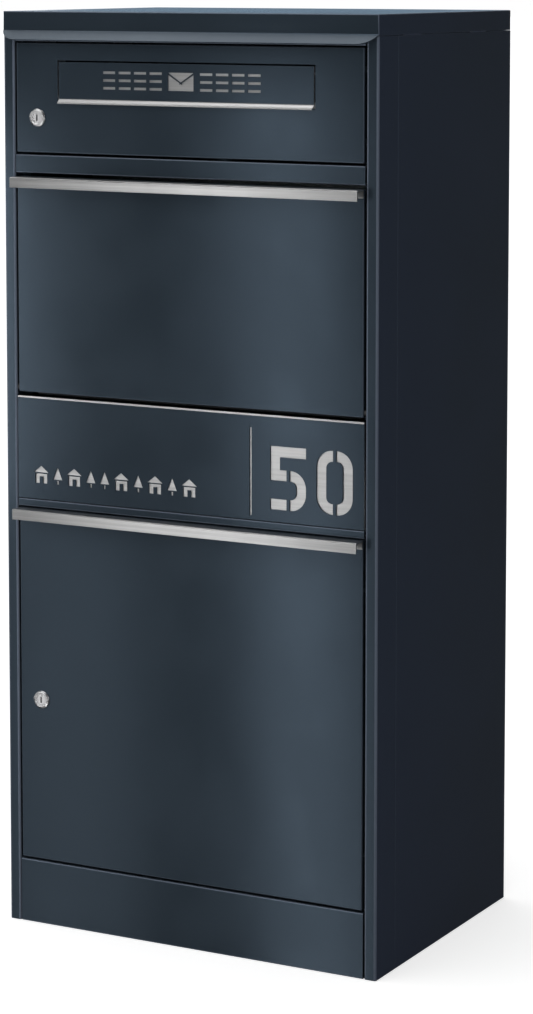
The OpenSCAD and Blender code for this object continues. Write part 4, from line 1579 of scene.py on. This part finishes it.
@dataclass
class Fasteners(Assembly):
    """Screws, rivets, nuts and buffers: each is one prototype set in its CAD places."""

    rivet_head: float = 3.6 * MM
    rivet_shaft: float = 2.0 * MM
    rivet_top: float = 1.0 * MM
    rivet_soft: float = 0.2 * MM
    rivet_chamfer: float = 0.3 * MM
    buffer_soft: float = 0.9 * MM
    buffer_chamfer: float = 0.2 * MM
    thread_edge: float = 0.12 * MM
    solid_reach: float = 15 * MM
    seed: int = 11

    def _first_solid(self, node: str, centre: Vector) -> Solid:
        """Copies the CAD solid round a centre, moved to the origin and eased.

        Args:
            node: the CAD node.
            centre: the middle of the solid to copy.

        Returns:
            The prototype.
        """
        mesh = merged_copy(node)
        far = [v for v in mesh.verts if (v.co - centre).length > self.solid_reach]
        bmesh.ops.delete(mesh, geom=far, context="VERTS")
        bmesh.ops.translate(mesh, verts=mesh.verts, vec=-centre)
        bevel(mesh, [e for e in mesh.edges if is_corner(e)], self.thread_edge, 1)
        return mesh

    def _rivet(self, length: float) -> Solid:
        """Turns a rivet along Z, with a domed and a flat head.

        Args:
            length: its whole length.

        Returns:
            The prototype.
        """
        half, head, shaft, top = length / 2, self.rivet_head, self.rivet_shaft, self.rivet_top
        profile = [(0.0, -half)]
        profile += [
            (head * math.sin(a), top - half - top * math.cos(a))
            for a in (math.radians(10 * i) for i in range(1, 10))
        ]
        soft, chamfer = self.rivet_soft, self.rivet_chamfer
        profile += [(shaft, top - half), (shaft, half - top), (head - soft, half - top)]
        profile += [(head, half - top + soft), (head, half - chamfer), (head - chamfer, half)]
        profile += [(0.0, half)]
        mesh = turned(profile)
        mesh.transform(Matrix.Rotation(math.radians(90), 4, "X"))
        return mesh

    def _buffer(self, length: float, radius: float) -> Solid:
        """Turns a buffer with a soft front rim.

        Args:
            length: from the flange to the front.
            radius: its radius.

        Returns:
            The prototype.
        """
        half, soft, chamfer = length / 2, self.buffer_soft, self.buffer_chamfer
        profile = [(0.0, -half)]
        for i in range(7):
            a = math.radians(15 * i)
            profile.append((radius - soft + soft * math.sin(a), soft - half - soft * math.cos(a)))
        profile += [(radius, half - chamfer), (radius - chamfer, half), (0.0, half)]
        return turned(profile)

    def build(self, shop: Workshop) -> None:
        """Sets every kind of fastener.

        Args:
            shop: where the pieces are made.
        """
        screws, nuts = "rear_panel_screws", "address_plate_nuts"
        rivets, buffers = "parcel_tray_rivets", "door_buffers"
        centres = {node: solid_centres(node) for node in (screws, nuts, rivets, buffers)}
        low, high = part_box(rivets)
        front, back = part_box(buffers)
        radius = back.x - max(centre.x for centre in centres[buffers])
        buffer = self._buffer(back.y - front.y, radius)
        zinc, along_y, along_z = Slot.GALVANISED, Vector((0, 1, 0)), Vector((0, 0, 1))
        kinds = (
            (screws, Body.CABINET, zinc, along_y, self._first_solid(screws, centres[screws][0])),
            (nuts, Body.CABINET, zinc, Vector(), self._first_solid(nuts, centres[nuts][0])),
            (rivets, Body.PARCEL_DOOR, zinc, along_z, self._rivet(high.z - low.z)),
            (buffers, Body.CABINET, Slot.BUFFER_RUBBER, along_y, buffer),
        )
        for node, body, slot, axis, prototype in kinds:
            material = shop.finishes.of(slot)
            mesh = shop.setter.set(prototype, centres[node], axis, self.seed, material)
            shop.piece(f"{node}_set", mesh, slot, body, node)


# ------------------------------------------------------------------ studio


class Reach(Enum):
    """Groups of things that a light can fall on."""

    CABINET = "cabinet_pieces"
    HANDLES = "handle_pieces"
    FLOOR = "floor_pieces"


ALL_PIECES = (Reach.CABINET, Reach.HANDLES)
GRIPS = (Reach.HANDLES,)
PALE_BLUE: Colour = (0.45, 0.72, 1.0)
DEEP_BLUE: Colour = (0.12, 0.25, 1.0)


@dataclass
class SoftLight:
    """A rectangular light, hidden from the camera, that falls on some groups of things."""

    name: str
    place: Place
    target: Place
    size: tuple[float, float]
    power: float
    reach: tuple[Reach, ...] = (Reach.CABINET,)
    colour: Colour = (1.0, 1.0, 1.0)
    roll: float = 0.0

    def data(self) -> bpy.types.Light:
        """Makes the light's data.

        Returns:
            The data.
        """
        data = bpy.data.lights.new(self.name, "AREA")
        data.shape = "RECTANGLE"
        data.size, data.size_y = self.size
        data.energy = self.power
        return data

    def build(self, groups: dict[Reach, list[bpy.types.Object]]) -> bpy.types.Object:
        """Hangs the light.

        Args:
            groups: the things in each group.

        Returns:
            The light.
        """
        data = self.data()
        data.color = self.colour
        light = in_scene(self.name, data)
        light.location = self.place
        aim = Vector(self.target) - Vector(self.place)
        light.rotation_mode = "QUATERNION"
        roll = Quaternion((0.0, 0.0, 1.0), self.roll)
        light.rotation_quaternion = aim.to_track_quat("-Z", "Y") @ roll
        light.visible_camera = False
        receivers = bpy.data.collections.new(f"{self.name}_receivers")
        for group in self.reach:
            for item in groups[group]:
                receivers.objects.link(item)
        light.light_linking.receiver_collection = receivers
        return light


@dataclass
class SoftSun(SoftLight):
    """A far light. Its size's first number is the width of its disc in radians."""

    def data(self) -> bpy.types.Light:
        """Makes the light's data.

        Returns:
            The data.
        """
        data = bpy.data.lights.new(self.name, "SUN")
        data.angle = self.size[0]
        data.energy = self.power
        return data


@dataclass
class Studio:
    """Pale floor, white surroundings, soft lights and the camera."""

    floor_half: float = 60.0
    floor_drop: float = 0.3 * MM
    floor_glow: float = 0.62
    floor_tone: tuple[float, float] = (0.80, 0.84)
    floor_patches: float = 3.0
    floor_roughness: float = 0.9
    floor_gloss: float = 0.1
    camera_place: Place = (1.7427, -3.2144, 1.1540)
    yaw: float = math.radians(28.338)
    pitch: float = math.radians(5.594)
    lens: float = 108.22
    sensor: float = 36.0
    shift: float = -0.24
    seen: float = 1.0
    ambient: float = 0.072
    lights: tuple[SoftLight, ...] = (
        SoftLight("key", (-0.5, -1.9, 2.7), (0.0, 0.0, 0.6), (1.8, 1.8), 27.0),
        SoftLight(
            "overhead", (-0.95, -0.15, 2.9), (-0.1, -0.19, 1.0), (1.2, 1.0), 11.0, ALL_PIECES
        ),
        SoftLight(
            "right_strip", (-0.21, -0.88, 0.2), (-0.21, 0.0, 0.2), (0.13, 1.6), 2.2,
            roll=math.radians(3.0),
        ),
        SoftLight("left_strip", (-0.79, -0.88, 0.63), (-0.59, 0.0, 0.63), (0.20, 0.55), 1.5),
        SoftLight("low_strip", (-0.60, -0.88, 0.0), (-0.45, 0.0, 0.0), (0.20, 0.7), 0.5),
        SoftLight("edge_strip", (2.3, -1.25, 0.7), (0.25, -0.18, 0.6), (0.22, 2.4), 6.0),
        SoftLight("roof_sky", (-1.6, 3.2, 2.0), (0.0, 0.0, 1.1), (2.4, 1.6), 7.0, colour=PALE_BLUE),
        SoftLight("side_sky", (3.1, 3.2, 0.3), (0.25, 0.0, 0.3), (2.2, 4.4), 4.4, colour=DEEP_BLUE),
        SoftLight(
            "handle_strip", (-0.385, -0.98, 0.45), (-0.28, 0.0, 0.45), (0.17, 1.4), 2.9, GRIPS
        ),
        SoftLight("handle_top", (-0.3, -1.6, 2.6), (0.0, 0.0, 0.7), (1.2, 0.8), 6.0, GRIPS),
        SoftLight("right_front", (2.3, -3.7, 1.7), (0.0, 0.0, 0.5), (2.6, 3.0), 13.0, ALL_PIECES),
        SoftLight("left_front", (-3.8, -1.2, 1.8), (0.0, 0.0, 0.5), (2.6, 3.0), 13.0, ALL_PIECES),
        SoftLight("left_back", (-3.6, 2.6, 1.4), (0.0, 0.0, 0.5), (3.0, 3.0), 16.0, ALL_PIECES),
        SoftLight("behind", (-0.5, 4.5, 2.4), (0.0, 0.0, 0.5), (1.3, 1.5), 7.0, ALL_PIECES),
        SoftSun("floor_sun", (-1.9, -0.9, 4.0), (0.0, 0.0, 0.0), (1.9, 0.0), 2.2, (Reach.FLOOR,)),
    )

    def _world(self) -> None:
        """White behind the cabinet and dim in its reflections."""
        world = bpy.data.worlds.new("studio")
        bpy.context.scene.world = world
        world.use_nodes = True
        world.node_tree.nodes.clear()
        graph = Graph(world.node_tree)
        seen = graph.add("ShaderNodeLightPath").outputs["Is Camera Ray"]
        low, high = self.ambient, self.seen
        level = graph.add("ShaderNodeMapRange", {"Value": seen, "To Min": low, "To Max": high})
        white = (1.0, 1.0, 1.0, 1.0)
        back = graph.add("ShaderNodeBackground", {"Color": white, "Strength": level.outputs[0]})
        graph.add("ShaderNodeOutputWorld", {"Surface": back.outputs[0]})

    def _floor(self) -> bpy.types.Object:
        """Lays the floor, which glows a little so that its shadows stay soft.

        Returns:
            The floor.
        """
        half = self.floor_half
        mesh = bpy.data.meshes.new("studio_floor")
        corners = [(-half, -half), (half, -half), (half, half), (-half, half)]
        mesh.from_pydata([(x, y, -self.floor_drop) for x, y in corners], [], [(0, 1, 2, 3)])
        floor = in_scene("studio_floor", mesh)
        made, graph = blank_material("studio_floor")
        place = graph.add("ShaderNodeTexCoord").outputs["Object"]
        tone = graph.spread(graph.noise(place, self.floor_patches), *self.floor_tone)
        shader = graph.add("ShaderNodeBsdfPrincipled", {"Roughness": self.floor_roughness})
        shader.inputs["Specular IOR Level"].default_value = self.floor_gloss
        graph.link(tone, shader.inputs["Base Color"])
        seen = graph.add("ShaderNodeLightPath").outputs["Is Camera Ray"]
        strength = graph.calc("MULTIPLY", seen, self.floor_glow)
        glow = graph.add("ShaderNodeEmission", {"Strength": strength})
        both = graph.add("ShaderNodeAddShader", {0: shader.outputs[0], 1: glow.outputs[0]})
        graph.add("ShaderNodeOutputMaterial", {"Surface": both.outputs[0]})
        mesh.materials.append(made)
        floor.visible_glossy = False
        floor.visible_shadow = False
        floor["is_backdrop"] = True
        return floor

    def _camera(self) -> None:
        """Sets up the camera."""
        data = bpy.data.cameras.new("studio_camera")
        data.lens = self.lens
        data.sensor_width = self.sensor
        data.shift_y = self.shift
        camera = in_scene("studio_camera", data)
        camera.location = self.camera_place
        level = math.cos(self.pitch)
        ahead = Vector(
            (-math.sin(self.yaw) * level, math.cos(self.yaw) * level, -math.sin(self.pitch))
        )
        camera.rotation_mode = "QUATERNION"
        camera.rotation_quaternion = ahead.to_track_quat("-Z", "Y")
        bpy.context.scene.camera = camera

    def build(self) -> None:
        """Builds the studio."""
        self._world()
        floor = self._floor()
        self._camera()
        groups: dict[Reach, list[bpy.types.Object]] = {reach: [] for reach in Reach}
        for item in bpy.context.scene.objects:
            if item.type == "MESH" and item is not floor:
                handle = "handle" in item.name
                groups[Reach.HANDLES if handle else Reach.CABINET].append(item)
        groups[Reach.FLOOR].append(floor)
        for light in self.lights:
            light.build(groups)
        bpy.context.scene.view_settings.view_transform = "Standard"
        log.info("studio: %d lights", len(self.lights))


def main() -> None:
    """Builds the cabinet's sub-assemblies in order, and the studio round them."""
    shop = Workshop()
    CabinetShell().build(shop)
    AddressPanel().build(shop)
    SideHinges().build(shop)
    LetterDoor().build(shop)
    ParcelDoor().build(shop)
    CollectionDoor().build(shop)
    Fasteners().build(shop)
    Studio().build()
    log.info("%d pieces in all", len(shop.made))


def note_size() -> None:
    """Makes plain lists of the CAD model's box and the visual model's box, which are not kept."""
    boxes = {"start": CAD_BOX, "end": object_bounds()}
    {when: [list(corner) for corner in box] for when, box in boxes.items()}


if __name__ == "__main__":
    main()
    note_size()
